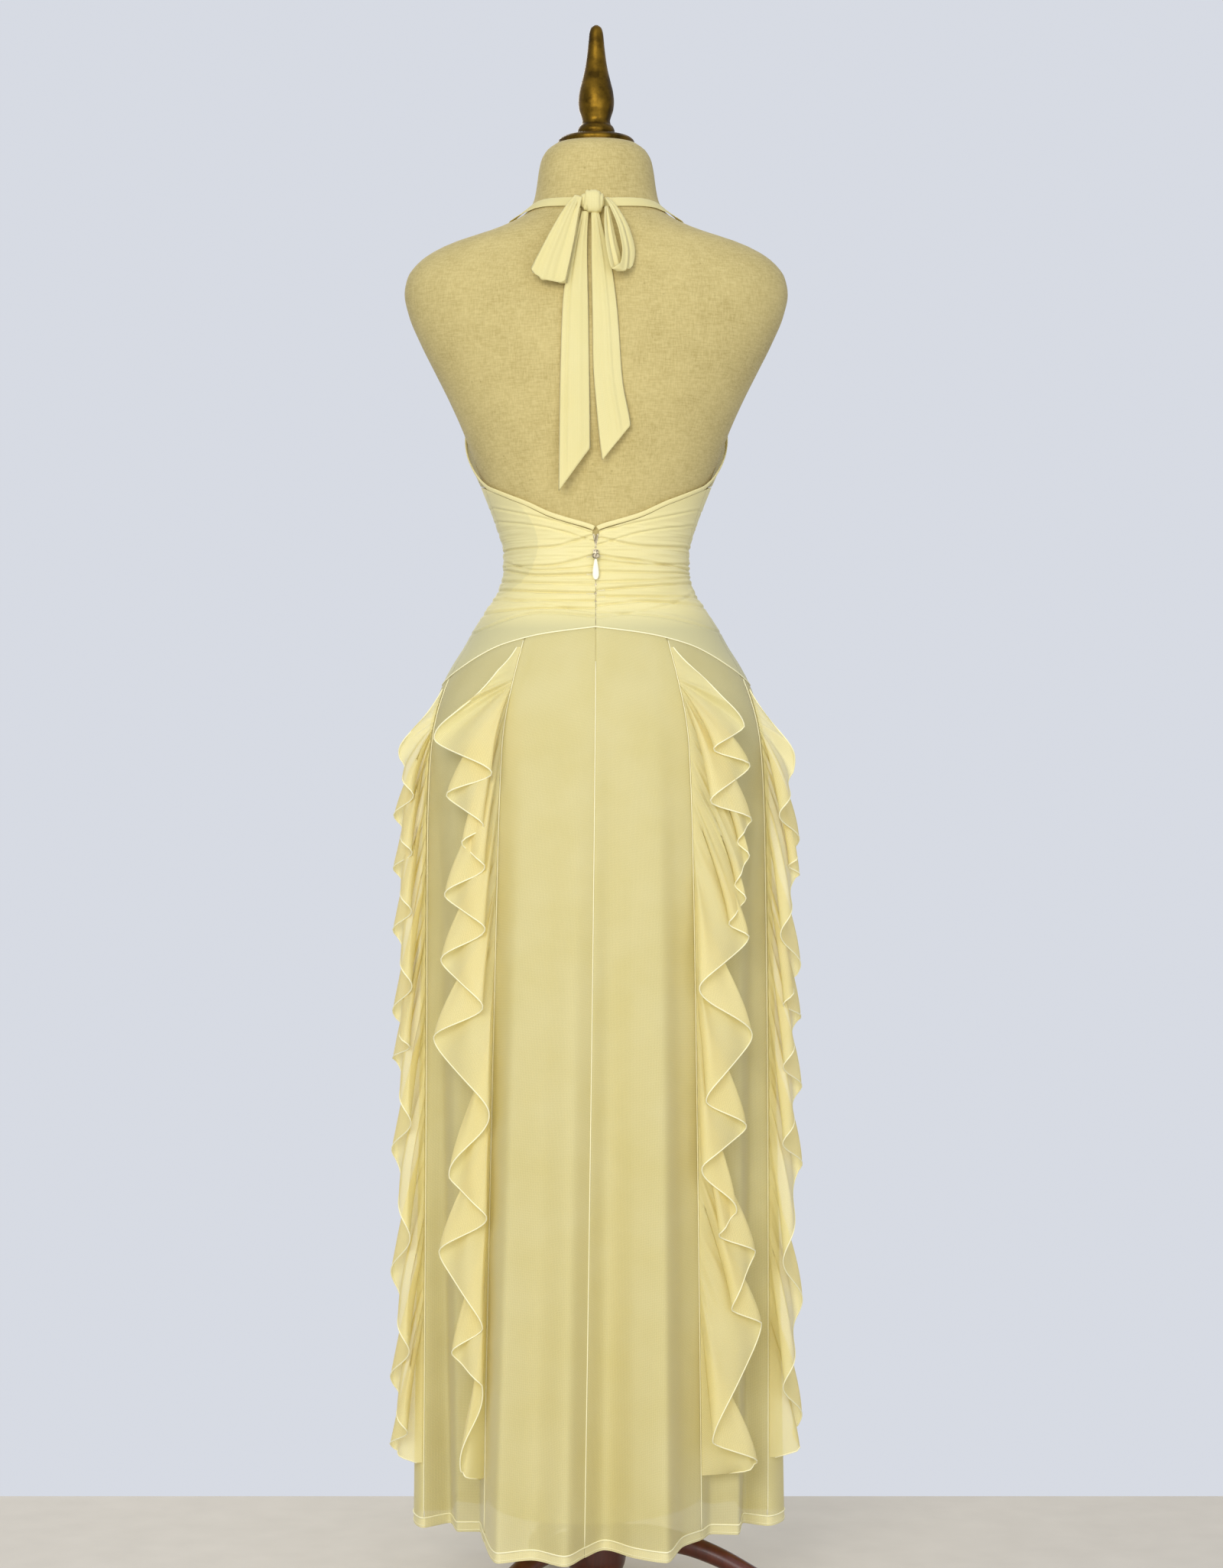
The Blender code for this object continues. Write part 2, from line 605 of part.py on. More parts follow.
def make_ruffles(material):
    for ruffle in RUFFLES:
        turns = [row.height for row in reversed(ruffle.edge)]
        places = [turns[0]]
        for above, below in zip(turns, turns[1:]):
            places += [(above + below) / 2, below]
        grid = [[ruffle_point(ruffle, edge, v) for edge in places] for v in RUFFLE_ROWS]
        add_grid_wall(ruffle.name, grid, CLOTH, material, level_seam=True)


def side_angle(side, turn):
    """Angle from +X for a turn from the side towards the front, on side +1 left or -1 right."""
    return -turn if side > 0 else 180 + turn


def cup_surface(side):
    """Halter front of one side: u from the armhole edge to the neck edge, v upwards."""
    def surface(u, v):
        neck_turn = read_rows(CUP_EDGES, v, "neck_turn") - CUP_APART
        turn = mix(read_rows(CUP_EDGES, v, "arm_turn"), neck_turn, u)
        height = mix(read_rows(CUP_EDGES, v, "arm_height"), read_rows(CUP_EDGES, v, "neck_height"), u) * MM
        angle = side_angle(side, turn)
        seam = midriff_top(angle) + 2.2 * SEAM_GAP
        height += (seam - height) * smooth_step(1 - v / CUP_SEAM_SHARE)
        return on_form(angle, height, mix(MIDRIFF_ROOM, CUP_ROOM, smooth_step(v / CUP_ROOM_SHARE)) * MM)
    return surface


def make_cups(material):
    for side, name in ((1, "bodice_front_left"), (-1, "bodice_front_right")):
        cup = cup_surface(side)
        grid = [[cup(u, v) for u in spread(0, 1, CUP_COLUMNS)] for v in CUP_STEPS]
        add_grid_wall(name, grid, CLOTH, material)


def add_strip(name, low_rail, high_rail, normals, thickness, material):
    """Flat strip between two rails of points."""
    outer = [[p + n * thickness / 2 for p, n in zip(rail, normals)] for rail in (low_rail, high_rail)]
    inner = [[p - n * thickness / 2 for p, n in zip(rail, normals)] for rail in (low_rail, high_rail)]
    return add_wall(name, outer, inner, material)


def make_bindings(material):
    """Narrow binding, from the centre back along the neckline and up the armhole edge."""
    for side, name in ((1, "binding_left"), (-1, "binding_right")):
        edge, normals = [], []
        for turn in spread(BINDING_START, BINDING_CORNER, 12):
            angle = side_angle(side, -turn)
            height = midriff_top(angle)
            point = dress_point(angle, height)
            closeness = max(0.0, (turn - ZIP_SIDE_TURN) / (90 - ZIP_SIDE_TURN)) ** 5
            point.x += side * zip_mouth(height) * closeness
            edge.append(point)
            normals.append(surface_normal(dress_point, angle, height, 0.5, MM))
        cup = cup_surface(side)
        for v in CUP_STEPS[1:]:
            edge.append(cup(0, v))
            normals.append(surface_normal(cup, 0, v, -0.01 * side, 0.01))
        low_rail, high_rail = [], []
        for i, (point, normal) in enumerate(zip(edge, normals)):
            ahead = edge[min(i + 1, len(edge) - 1)] - edge[max(i - 1, 0)]
            across = ahead.cross(normal).normalized() * side
            low_rail.append(point + across * SEAM_GAP)
            high_rail.append(point + across * (SEAM_GAP + BINDING_WIDTH))
        add_strip(name, low_rail, high_rail, normals, BINDING_THICKNESS, material)


def make_neck_frills(material):
    """Small gathered frill along the front neckline, from the centre front to the shoulder."""
    for side, name in ((1, "neck_frill_left"), (-1, "neck_frill_right")):
        cup = cup_surface(side)

        def surface(s, v, cup=cup, side=side):
            along = mix(*FRILL_SPAN, s)
            normal = surface_normal(cup, 1, along, -0.01 * side, 0.01)
            inward = (cup(1, along) - cup(0.9, along)).normalized()
            lean = FRILL_SWING * math.sin(2 * math.pi * FRILL_WAVES * s)
            direction = (normal * (0.9 + 0.3 * lean) + inward * (0.35 - 0.7 * lean)).normalized()
            height = FRILL_HEIGHT * mix(0.3, 1.0, smooth_step(s / 0.1))
            root = cup(1, along) - inward * FRILL_INSET + normal * RUFFLE_LIFT
            return root + direction * height * v

        add_sheet(name, surface, spread(0, 1, FRILL_WAVES * 4), (0, 1), (0.002, 0.01), material,
                  thickness=1 * MM)


def strap_line(side):
    """Middle of a neck strap and the outward direction along it."""
    centres, normals = [], []
    for turn in spread(STRAP_POINTS[0].turn, STRAP_POINTS[-1].turn, 14):
        angle = side_angle(side, -turn)
        height = read_rows(STRAP_POINTS, turn, "height") * MM
        normals.append(surface_normal(form_point, angle, height, 0.5, MM))
        centres.append(on_form(angle, height, STRAP_ROOM))
    return centres, normals


def add_band(name, centres, normals, width, thickness, material):
    """Flat band along a line of points, its flat side square to each normal."""
    low_rail, high_rail, faces = [], [], []
    for i, (centre, normal) in enumerate(zip(centres, normals)):
        ahead = centres[min(i + 1, len(centres) - 1)] - centres[max(i - 1, 0)]
        across = ahead.cross(normal).normalized()
        low_rail.append(centre - across * width / 2)
        high_rail.append(centre + across * width / 2)
        faces.append(across.cross(ahead).normalized())
    return add_strip(name, low_rail, high_rail, faces, thickness, material)


def make_straps(material):
    for side, name in ((1, "strap_left"), (-1, "strap_right")):
        centres, normals = strap_line(side)
        add_band(name, centres, normals, STRAP_WIDTH, STRAP_THICKNESS, material)


# Bow: each piece is a band along a row of centres, with its width and the lean of its width away
# from the knot (x, y, z of the direction across it)
BandPoint = namedtuple("BandPoint", "step x y z width")
BOW_LOOP_LEFT = (
    BandPoint(0, 17.5, 82.0, 1449, 8), BandPoint(1, 24, 91, 1434, 15),
    BandPoint(2, 34, 99.5, 1405, 26), BandPoint(3, 43.5, 106, 1375, 34),
    BandPoint(4, 47.5, 106.5, 1359, 37), BandPoint(5, 46.5, 100, 1360, 36),
    BandPoint(6, 40, 96, 1383, 30), BandPoint(7, 29, 88, 1411, 19), BandPoint(8, 18.6, 78.5, 1438, 7),
)
BOW_LOOP_RIGHT = (
    BandPoint(0, -11.4, 78.0, 1448, 6), BandPoint(1, -19, 85, 1436, 12),
    BandPoint(2, -29, 91, 1413, 18), BandPoint(3, -33.5, 96.5, 1389, 21),
    BandPoint(4, -31.5, 101.5, 1371, 22), BandPoint(5, -24, 104.5, 1370, 22),
    BandPoint(6, -18, 103.5, 1388, 20), BandPoint(7, -13.5, 96.5, 1414, 15),
    BandPoint(8, -11.1, 86, 1437.5, 7),
)
BOW_TAIL_LEFT = (
    BandPoint(0, 10.8, 78.2, 1433.8, 7), BandPoint(1, 13.8, 82.2, 1415, 11),
    BandPoint(2, 17.5, 90.0, 1384, 18), BandPoint(3, 20.4, 98.2, 1340, 26),
    BandPoint(4, 21, 102.2, 1285, 29), BandPoint(5, 21.3, 102.7, 1225, 31),
    BandPoint(6, 21.5, 102.7, 1168, 32),
)
BOW_TAIL_RIGHT = (
    BandPoint(0, 0.8, 78.2, 1433.4, 8), BandPoint(1, -1.5, 82.2, 1415, 12),
    BandPoint(2, -5.5, 91.0, 1380, 20), BandPoint(3, -9.5, 99.6, 1325, 26),
    BandPoint(4, -12, 102.5, 1268, 29), BandPoint(5, -16.5, 102.8, 1228, 30),
    BandPoint(6, -21, 102.7, 1195, 29),
)


def band_surface(rows, across, crease, slant=0.0):
    """Band of cloth; crease bows it across its width and slant cuts its lower end."""
    across = Vector(across).normalized()

    def surface(u, s):
        place = s * rows[-1].step
        centre = Vector([read_rows(rows, place, axis) for axis in "xyz"]) * MM
        width = read_rows(rows, place, "width") * MM
        side = u - 0.5
        low = slant * side * smooth_step((s - 0.7) / 0.3)
        bow = crease * (1 - 4 * side * side)
        return centre + across * side * width + Vector((0, bow, low))
    return surface


def make_bow(material):
    bm = bmesh.new()
    bmesh.ops.create_uvsphere(bm, u_segments=10, v_segments=6, radius=1.0)
    for vert in bm.verts:
        vert.co = KNOT_CENTRE + Vector([math.copysign(abs(c) ** 0.8, c) * h
                                        for c, h in zip(vert.co, KNOT_HALF)])
    add_object("bow_knot", bm, material)
    pieces = (
        ("bow_loop_left", BOW_LOOP_LEFT, (1, 0.05, 0.28), 0.0, 0.0, 12),
        ("bow_loop_right", BOW_LOOP_RIGHT, (0.62, 0.75, -0.2), 0.0, 0.0, 12),
        ("bow_tail_left", BOW_TAIL_LEFT, (1, 0, 0), 1.5 * MM, -44 * MM, 9),
        ("bow_tail_right", BOW_TAIL_RIGHT, (-1, 0, 0), 1.5 * MM, 36 * MM, 9),
    )
    for name, rows, across, crease, slant, count in pieces:
        surface = band_surface(rows, across, crease, slant)
        add_sheet(name, surface, spread(0, 1, 3), spread(0, 1, count), (0.02, 0.01), material)


def add_stack(name, rings, material, smooth=True):
    """Solid through a stack of rings of points, closed by its first and last ring."""
    bm = bmesh.new()
    verts = [[bm.verts.new(point) for point in ring] for ring in rings]
    count = len(verts[0])
    for low, high in zip(verts, verts[1:]):
        for j in range(count):
            k = (j + 1) % count
            bm.faces.new((low[j], low[k], high[k], high[j]))
    bm.faces.new(verts[0][::-1])
    bm.faces.new(verts[-1])
    return add_object(name, bm, material, smooth)


def add_turned(name, profile, segments, material):
    """Solid turned about the Z axis from (height, radius) rows, low to high, both in metres."""
    turns = [2 * math.pi * j / segments for j in range(segments)]
    rings = [[Vector((radius * math.cos(t), radius * math.sin(t), height)) for t in turns]
             for height, radius in profile]
    return add_stack(name, rings, material)


def make_form(linen):
    rings = [[form_point(360 * j / FORM_SEGMENTS, row.height * MM) for j in range(FORM_SEGMENTS)]
             for row in FORM_SECTIONS]
    add_stack("form_body", rings, linen)


TurnedRow = namedtuple("TurnedRow", "height radius")
CAP_PROFILE = (TurnedRow(1517.3, 39), TurnedRow(1521.5, 40), TurnedRow(1525, 37), TurnedRow(1527.5, 28),
               TurnedRow(1529, 19))
FINIAL_PROFILE = (
    TurnedRow(1529.3, 18.5), TurnedRow(1533, 19.4), TurnedRow(1537, 18), TurnedRow(1540.5, 15.2),
    TurnedRow(1544, 14.6), TurnedRow(1549, 15.8), TurnedRow(1556, 18), TurnedRow(1564, 18.7),
    TurnedRow(1573, 17.9), TurnedRow(1584, 15.4), TurnedRow(1596, 12.4), TurnedRow(1608, 10.3),
    TurnedRow(1622, 8.6), TurnedRow(1635, 7.3), TurnedRow(1641, 5.6), TurnedRow(1644, 2.2),
)
HUB_PROFILE = (TurnedRow(22, 20), TurnedRow(30, 28), TurnedRow(42, 31), TurnedRow(78, 31),
               TurnedRow(88, 26), TurnedRow(96, 27), TurnedRow(106, 21), TurnedRow(118, 17))


def turned_rows(rows):
    return [(row.height * MM, row.radius * MM) for row in rows]


# Each leg: distance from the pole and height of its centre line, with its section
LegPoint = namedtuple("LegPoint", "step out height wide thick")
LEG_POINTS = (
    LegPoint(0, 31.15, 60, 22, 34), LegPoint(1, 58, 64, 23, 26), LegPoint(2, 92, 59, 23, 22),
    LegPoint(3, 126, 48, 22, 20), LegPoint(4, 157, 33, 21, 19), LegPoint(5, 178, 20, 22, 20),
    LegPoint(6, 187, 9, 24, 24), LegPoint(7, 188, 0, 24, 24),
)


def make_leg(name, angle, wood):
    """Curved leg from the hub to a flat foot."""
    outward = Vector((math.cos(math.radians(angle)), math.sin(math.radians(angle)), 0))
    sideways = Vector((-outward.y, outward.x, 0))
    places = spread(0, LEG_POINTS[-1].step, 12)
    centres = [Vector((read_rows(LEG_POINTS, s, "out") * MM, 0, read_rows(LEG_POINTS, s, "height") * MM))
               for s in places]
    rings = []
    for i, (place, centre) in enumerate(zip(places, centres)):
        run = centres[min(i + 1, len(centres) - 1)] - centres[max(i - 1, 0)]
        if i == 0:
            run = Vector((1, 0, 0))
        if place == places[-1]:
            run = Vector((0, 0, -1))
        up = Vector((-run.z, 0, run.x)).normalized()
        corner = 1 / math.cos(math.radians(22.5))
        half_wide = read_rows(LEG_POINTS, place, "wide") * MM / 2 * corner
        half_thick = read_rows(LEG_POINTS, place, "thick") * MM / 2 * corner
        ring = []
        for k in range(8):
            turn = math.radians(45 * k + 22.5)
            point = centre + up * math.sin(turn) * half_thick
            ring.append(outward * point.x + sideways * math.cos(turn) * half_wide
                        + Vector((0, 0, max(point.z, 0.0))))
        rings.append(ring)
    add_stack(name, rings, wood)


def make_stand(wood, gold):
    add_turned("neck_cap", turned_rows(CAP_PROFILE), 20, gold)
    add_turned("finial", turned_rows(FINIAL_PROFILE), 16, gold)
    add_turned("stand_hub", turned_rows(HUB_PROFILE), 16, wood)
    add_turned("stand_pole", [(HUB_TOP + FIT_GAP, POLE_RADIUS), (FORM_BOTTOM - FIT_GAP, POLE_RADIUS)],
               12, wood)
    for number, angle in enumerate(LEG_ANGLES, start=1):
        make_leg(f"stand_leg_{number}", angle, wood)


def make_zip_tapes(material):
    """Tape behind each edge of the opening."""
    for side, name in ((1, "zip_tape_left"), (-1, "zip_tape_right")):
        centres, normals = [], []
        for height in spread(ZIP_BOTTOM, ZIP_TOP - 2 * MM, 12):
            middle = 0.4 * zip_mouth(height) + FIT_GAP + TAPE_WIDTH / 2
            angle = 90 - side * math.degrees(middle / form_point(90, height).y)
            normals.append(surface_normal(form_point, angle, height, 0.5, MM))
            centres.append(on_form(angle, height, TAPE_ROOM))
        add_band(name, centres, normals, TAPE_WIDTH, TAPE_THICKNESS, material)


def make_zip_parts(steel, ivory):
    """Slider with its bridge, the ring through it and the teardrop pull, which swing on the bridge."""
    face = dress_point(90, SLIDER_HEIGHT).y + CLOTH / 2 + GATHER_RISE + FIT_GAP
    axis = Vector((0, face + SLIDER_PLATE + BRIDGE_GAP / 2, SLIDER_HEIGHT))
    add_slider("zip_slider", face, steel)
    turns = [2 * math.pi * i / 16 for i in range(16)]
    ring = [axis + Vector((RING_HALF_WIDTH * math.cos(t), 0, RING_DROP / 2 * (math.sin(t) - 1)))
            for t in turns]
    add_ring("zip_ring", ring, RING_WIRE, steel)
    top = SLIDER_HEIGHT - RING_DROP - RING_WIRE - FIT_GAP
    outline = ((-1, -0.4), (-0.5, -1), (0.5, -1), (1, -0.4), (1, 0.4), (0.5, 1), (-0.5, 1), (-1, 0.4))
    rings = [[Vector((x * row.half_width * MM, axis.y + y * PULL_HALF_THICKNESS, top - row.down * MM))
              for x, y in outline] for row in PULL_ROWS]
    add_stack("zip_pull", rings, ivory)


def add_slider(name, face, material):
    """Plate with a bridge over a slot, as one body of box cells (across, outwards, up)."""
    x_rows = [x * MM for x in (-2.6, -0.7, 0.7, 2.6)]
    y_rows = [face, face + SLIDER_PLATE, face + SLIDER_PLATE + BRIDGE_GAP,
              face + SLIDER_PLATE + BRIDGE_GAP + BRIDGE_BAR]
    z_rows = [SLIDER_HEIGHT + z * MM for z in (-4.4, -2.6, -1.2, 1.2, 2.6, 4.0)]
    plate = {(i, 0, k) for i in range(3) for k in range(5)}
    posts = {(1, 1, 1), (1, 1, 3)}
    bar = {(1, 2, 1), (1, 2, 2), (1, 2, 3)}
    bm = bmesh.new()
    add_cells(bm, plate | posts | bar, x_rows, y_rows, z_rows)
    add_object(name, bm, material, smooth=False)


def add_cells(bm, solid, x_rows, y_rows, z_rows):
    """Outer faces of a set of box cells on a grid."""
    corners = {}

    def corner(i, j, k):
        if (i, j, k) not in corners:
            corners[(i, j, k)] = bm.verts.new((x_rows[i], y_rows[j], z_rows[k]))
        return corners[(i, j, k)]

    sides = (
        ((-1, 0, 0), ((0, 0, 0), (0, 0, 1), (0, 1, 1), (0, 1, 0))),
        ((1, 0, 0), ((1, 0, 0), (1, 1, 0), (1, 1, 1), (1, 0, 1))),
        ((0, -1, 0), ((0, 0, 0), (1, 0, 0), (1, 0, 1), (0, 0, 1))),
        ((0, 1, 0), ((0, 1, 0), (0, 1, 1), (1, 1, 1), (1, 1, 0))),
        ((0, 0, -1), ((0, 0, 0), (0, 1, 0), (1, 1, 0), (1, 0, 0))),
        ((0, 0, 1), ((0, 0, 1), (1, 0, 1), (1, 1, 1), (0, 1, 1))),
    )
    for i, j, k in sorted(solid):
        for (di, dj, dk), quad in sides:
            if (i + di, j + dj, k + dk) not in solid:
                bm.faces.new([corner(i + a, j + b, k + c) for a, b, c in quad])


def add_ring(name, points, wire, material):
    """Closed ring of six-sided wire through the points, which lie in a plane square to Y."""
    bm = bmesh.new()
    count = len(points)
    rings = []
    for i, point in enumerate(points):
        ahead = (points[(i + 1) % count] - points[i - 1]).normalized()
        out = ahead.cross(Vector((0, 1, 0)))
        rings.append([bm.verts.new(point + out * wire * math.cos(math.radians(60 * k))
                                   + Vector((0, wire * math.sin(math.radians(60 * k)), 0)))
                      for k in range(6)])
    for i in range(count):
        for k in range(6):
            m = (k + 1) % 6
            n = (i + 1) % count
            bm.faces.new((rings[i][k], rings[i][m], rings[n][m], rings[n][k]))
    return add_object(name, bm, material)


def main():
    clear_scene()
    mesh_cloth = make_material("butter_mesh", "#E9DF9E", 0.85)
    ruffle_cloth = make_material("ruffle_mesh", "#F0E7B2", 0.85)
    lining_cloth = make_material("lining_knit", "#E4DCA4", 0.8)
    bow_cloth = make_material("bow_mesh", "#F2EBB8", 0.85)
    linen = make_material("form_linen", "#C2B684", 0.9)
    gold = make_material("gold_paint", "#806A2C", 0.4, 0.8)
    wood = make_material("dark_wood", "#4A1C0C", 0.45)
    steel = make_material("zip_steel", "#B8B4A8", 0.35, 0.9)
    ivory = make_material("ivory_enamel", "#F1EDD6", 0.35)
    tape = make_material("zip_tape", "#DDD29C", 0.85)

    make_form(linen)
    make_stand(wood, gold)
    make_skirt(mesh_cloth)
    make_lining(lining_cloth)
    make_midriff(mesh_cloth)
    make_cups(mesh_cloth)
    make_bindings(bow_cloth)
    make_ruffles(ruffle_cloth)
    make_neck_frills(ruffle_cloth)
    make_straps(bow_cloth)
    make_bow(bow_cloth)
    make_zip_tapes(tape)
    make_zip_parts(steel, ivory)


main()
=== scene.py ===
"""Looks of the ruffled halter maxi dress in sheer mesh, on its linen dress form.

Metres, +Z up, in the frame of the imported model. The front of the dress faces -Y and its left side is at
+X. The photograph shows the back, so the camera stands at +Y. Lengths in the tables are millimetres.
"""
import math
from bisect import bisect_right
from collections import namedtuple

import bpy
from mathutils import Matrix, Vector, noise


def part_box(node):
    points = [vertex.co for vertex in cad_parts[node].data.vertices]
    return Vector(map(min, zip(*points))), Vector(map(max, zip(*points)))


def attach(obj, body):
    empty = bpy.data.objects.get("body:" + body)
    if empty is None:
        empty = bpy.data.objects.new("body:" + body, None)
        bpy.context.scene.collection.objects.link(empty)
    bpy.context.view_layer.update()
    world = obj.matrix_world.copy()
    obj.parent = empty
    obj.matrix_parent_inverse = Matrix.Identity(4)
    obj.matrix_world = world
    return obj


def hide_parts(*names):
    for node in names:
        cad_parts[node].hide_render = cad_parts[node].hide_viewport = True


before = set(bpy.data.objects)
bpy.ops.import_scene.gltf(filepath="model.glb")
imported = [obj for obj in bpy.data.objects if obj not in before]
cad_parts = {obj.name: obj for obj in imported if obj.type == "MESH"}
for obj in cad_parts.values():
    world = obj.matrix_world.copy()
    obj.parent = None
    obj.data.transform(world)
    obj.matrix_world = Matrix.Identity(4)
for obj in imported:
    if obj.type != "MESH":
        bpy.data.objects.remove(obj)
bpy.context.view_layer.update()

MM = 0.001
BODY = "dress_and_form"          # the body that carries everything but the zip pull and its ring


def rows_of(kind, rows):
    """Table whose rows have named columns."""
    return [kind(*row) for row in rows]


# Sizes shared with the solids
CLOTH = 1.2 * MM                 # wall of one layer
SEAM_GAP = 0.4 * MM              # between two pieces sewn together
HEM_HEIGHT = 80 * MM             # hem above the floor
LINING_SHORTER = 20 * MM         # lining above the hem
FORM_BOTTOM = 760 * MM
PLAN_SQUARENESS = 2.15           # 2 is an ellipse in plan, more is squarer
POLE_RADIUS = 12.5 * MM
HUB_TOP = 118 * MM
LEG_ANGLES = (50, 170, 290)      # degrees from +X, the first shows under the hem
FIT_GAP = 0.3 * MM               # between two hard parts that meet

Section = namedtuple("Section", "height half_width front back")
FORM_SECTIONS = rows_of(Section, (
    (760, 122, 70, 84),
    (790, 145, 82, 100),
    (830, 160, 91, 112),
    (880, 168, 97, 121),
    (920, 164, 98, 119),
    (950, 155.5, 95, 112),
    (970, 145.5, 92, 106),
    (990, 133.5, 89, 100),
    (1010, 123, 86, 94),
    (1030, 111, 82, 88),
    (1050, 99.5, 79, 83),
    (1072, 94, 78, 80),
    (1092, 94, 80, 80),
    (1112, 99, 84, 82),
    (1160, 117, 97, 89),
    (1220, 140, 114, 98),
    (1250, 153.5, 120, 100),
    (1280, 168.5, 121, 101),
    (1310, 183.5, 113, 99),
    (1340, 196, 99, 95),
    (1362, 200.5, 88, 91),
    (1378, 197.5, 80, 87),
    (1392, 188, 74, 83),
    (1404, 172, 70, 79),
    (1414, 150, 67, 76),
    (1424, 118, 65, 73),
    (1434, 92, 63, 70),
    (1445, 74, 61, 67),
    (1460, 65, 59, 64),
    (1500, 58, 56, 58),
    (1511, 52, 51, 52),
    (1517, 44, 43, 44),
))

# Plan of the skirt below the hip, before its folds
HIP_LEVEL = 960 * MM             # the skirt leaves the form below this
HIP_BLEND = 70 * MM              # and hangs free this much lower
FOLD_GROWTH = 1.25               # power by which the folds grow towards the hem
SKIRT_SECTIONS = rows_of(Section, (
    (80, 188, 148, 148),
    (200, 187, 145, 147),
    (400, 185, 138, 144),
    (600, 183, 129, 140),
    (800, 181, 115, 134),
    (860, 179, 110, 131),
    (910, 174, 105, 127),
    (950, 162, 101, 118),
    (990, 140, 95, 106),
))

# How far the middle of the cloth stands off the form
Ease = namedtuple("Ease", "height room")
MIDRIFF_ROOM = 3.2
EASE_ROWS = rows_of(Ease, (
    (900, 6.2), (960, 6.0), (1008, 4.9), (1060, MIDRIFF_ROOM), (1200, MIDRIFF_ROOM),
))

# A row for each fold of the skirt: the angle on the hip that it falls from, and its hem in plan
Fold = namedtuple("Fold", "angle kind x y")
HEM_FOLDS = rows_of(Fold, (
    (3, "ridge", 191, 4),
    (13, "side seam left", 179, 34),
    (22, "trough", 152, 14),
    (31, "ridge", 142, 50),
    (41, "trough", 121, 50),
    (50, "side back seam left", 113, 92),
    (60, "ridge", 96, 170),
    (71, "trough", 63, 158),
    (82, "ridge", 30, 182),
    (90, "centre back seam", 11, 150),
    (97, "trough", -9, 121),
    (107, "ridge", -40, 152),
    (116, "ridge", -70, 168),
    (124, "trough", -88, 108),
    (130, "side back seam right", -108, 82),
    (141, "trough", -120, 60),
    (151, "ridge", -146, 62),
    (158, "trough", -153, 14),
    (167, "side seam right", -178, 26),
    (177, "ridge", -197, -4),
    (188, "ridge", -190, -40),
    (199, "trough", -156, -42),
    (210, "ridge", -148, -78),
    (220, "trough", -122, -66),
    (230, "side front seam right", -106, -100),
    (240, "ridge", -88, -162),
    (252, "trough", -52, -142),
    (264, "ridge", -20, -174),
    (277, "trough", 20, -144),
    (290, "ridge", 58, -170),
    (300, "trough", 86, -140),
    (310, "side front seam left", 110, -100),
    (320, "trough", 124, -66),
    (331, "ridge", 150, -76),
    (341, "trough", 154, -40),
    (353, "ridge", 188, -34),
))

Panel = namedtuple("Panel", "name start end")
SKIRT_PANELS = (
    Panel("skirt_side_back_left", 13, 50),
    Panel("skirt_back_left", 50, 90),
    Panel("skirt_back_right", 90, 130),
    Panel("skirt_side_back_right", 130, 167),
    Panel("skirt_side_front_right", 167, 230),
    Panel("skirt_front", 230, 310),
    Panel("skirt_side_front_left", 310, 373),
)
MIDRIFF_PANELS = (
    Panel("midriff_back_left", 13, 90),
    Panel("midriff_back_right", 90, 167),
    Panel("midriff_front", 167, 373),
)

# Plan of the lining where it hangs free
LINING_SECTIONS = rows_of(Section, (
    (80, 111, 90, 100),
    (300, 124, 97, 108),
    (500, 138, 102, 114),
    (650, 150, 105, 118),
    (780, 164, 104, 123),
    (860, 172, 103, 126),
))
LINING_LEAVES = 880 * MM         # it leaves the form below this
LINING_BLEND = 80 * MM
LINING_INSIDE = 2.1 * MM         # middle of the lining inside the middle of the skirt
LINING_SCOOP = 16 * MM           # the lining's edge rises by this on the far side
LINING_LOWEST_AT = 62            # angle where its edge is lowest

# Heights of the two seams round the body, by angle from the centre back
SeamLevel = namedtuple("SeamLevel", "turn yoke top")
SEAM_LEVELS = rows_of(SeamLevel, (
    (0, 1008, 1108),
    (30, 1001, 1122),
    (50, 991, 1138),
    (90, 951, 1162),
    (130, 974, 1166),
    (180, 988, 1160),
))

# Each ruffle: its seam's angle, the way it leans round the body (+1 towards larger angles), how far
# it stands out, the top of its seam, and the turning points of its wavy free edge from the bottom
# up: the height of each and how far it lies sideways of the seam
EdgeTurn = namedtuple("EdgeTurn", "height sweep")
BACK_LEFT_EDGE = rows_of(EdgeTurn, (
    (147, 0), (159, 9), (248, -11), (276, 20), (308, -10), (376, 36), (418, -12), (454, 27), (523, -12),
    (592, 48), (629, -3), (671, 42), (707, -3), (737, 40), (769, -1), (789, 23), (810, 2), (838, 42),
    (862, -5), (896, 62), (957, 18), (987, 6),
))
BACK_RIGHT_EDGE = rows_of(EdgeTurn, (
    (147, 28), (160, 43), (190, -3), (300, 50), (322, 18), (375, 44), (398, 6), (418, 24), (467, -10),
    (503, 36), (535, -5), (594, 44), (648, -10), (694, 42), (712, 22), (732, 39), (752, 30), (775, 44),
    (795, 34), (813, 49), (834, 6), (868, 50), (886, 12), (908, 49), (987, 4),
))
SIDE_LEFT_EDGE = rows_of(EdgeTurn, (
    (148, 0), (159, 18), (190, -19), (224, 19), (277, -21), (330, 21), (395, -21), (460, 21), (511, -21),
    (562, 19), (584, -18), (606, 19), (650, -21), (692, 19), (725, -19), (757, 19), (784, -19), (811, 19),
    (843, -19), (876, 21), (946, 2),
))
SIDE_RIGHT_EDGE = rows_of(EdgeTurn, (
    (152, 0), (182, 18), (240, -21), (298, 21), (372, -21), (447, 21), (488, -21), (529, 19), (566, -19),
    (604, 18), (628, -18), (652, 18), (704, -21), (753, 18), (769, 3), (785, 21), (824, -19), (862, 21),
    (946, 2),
))
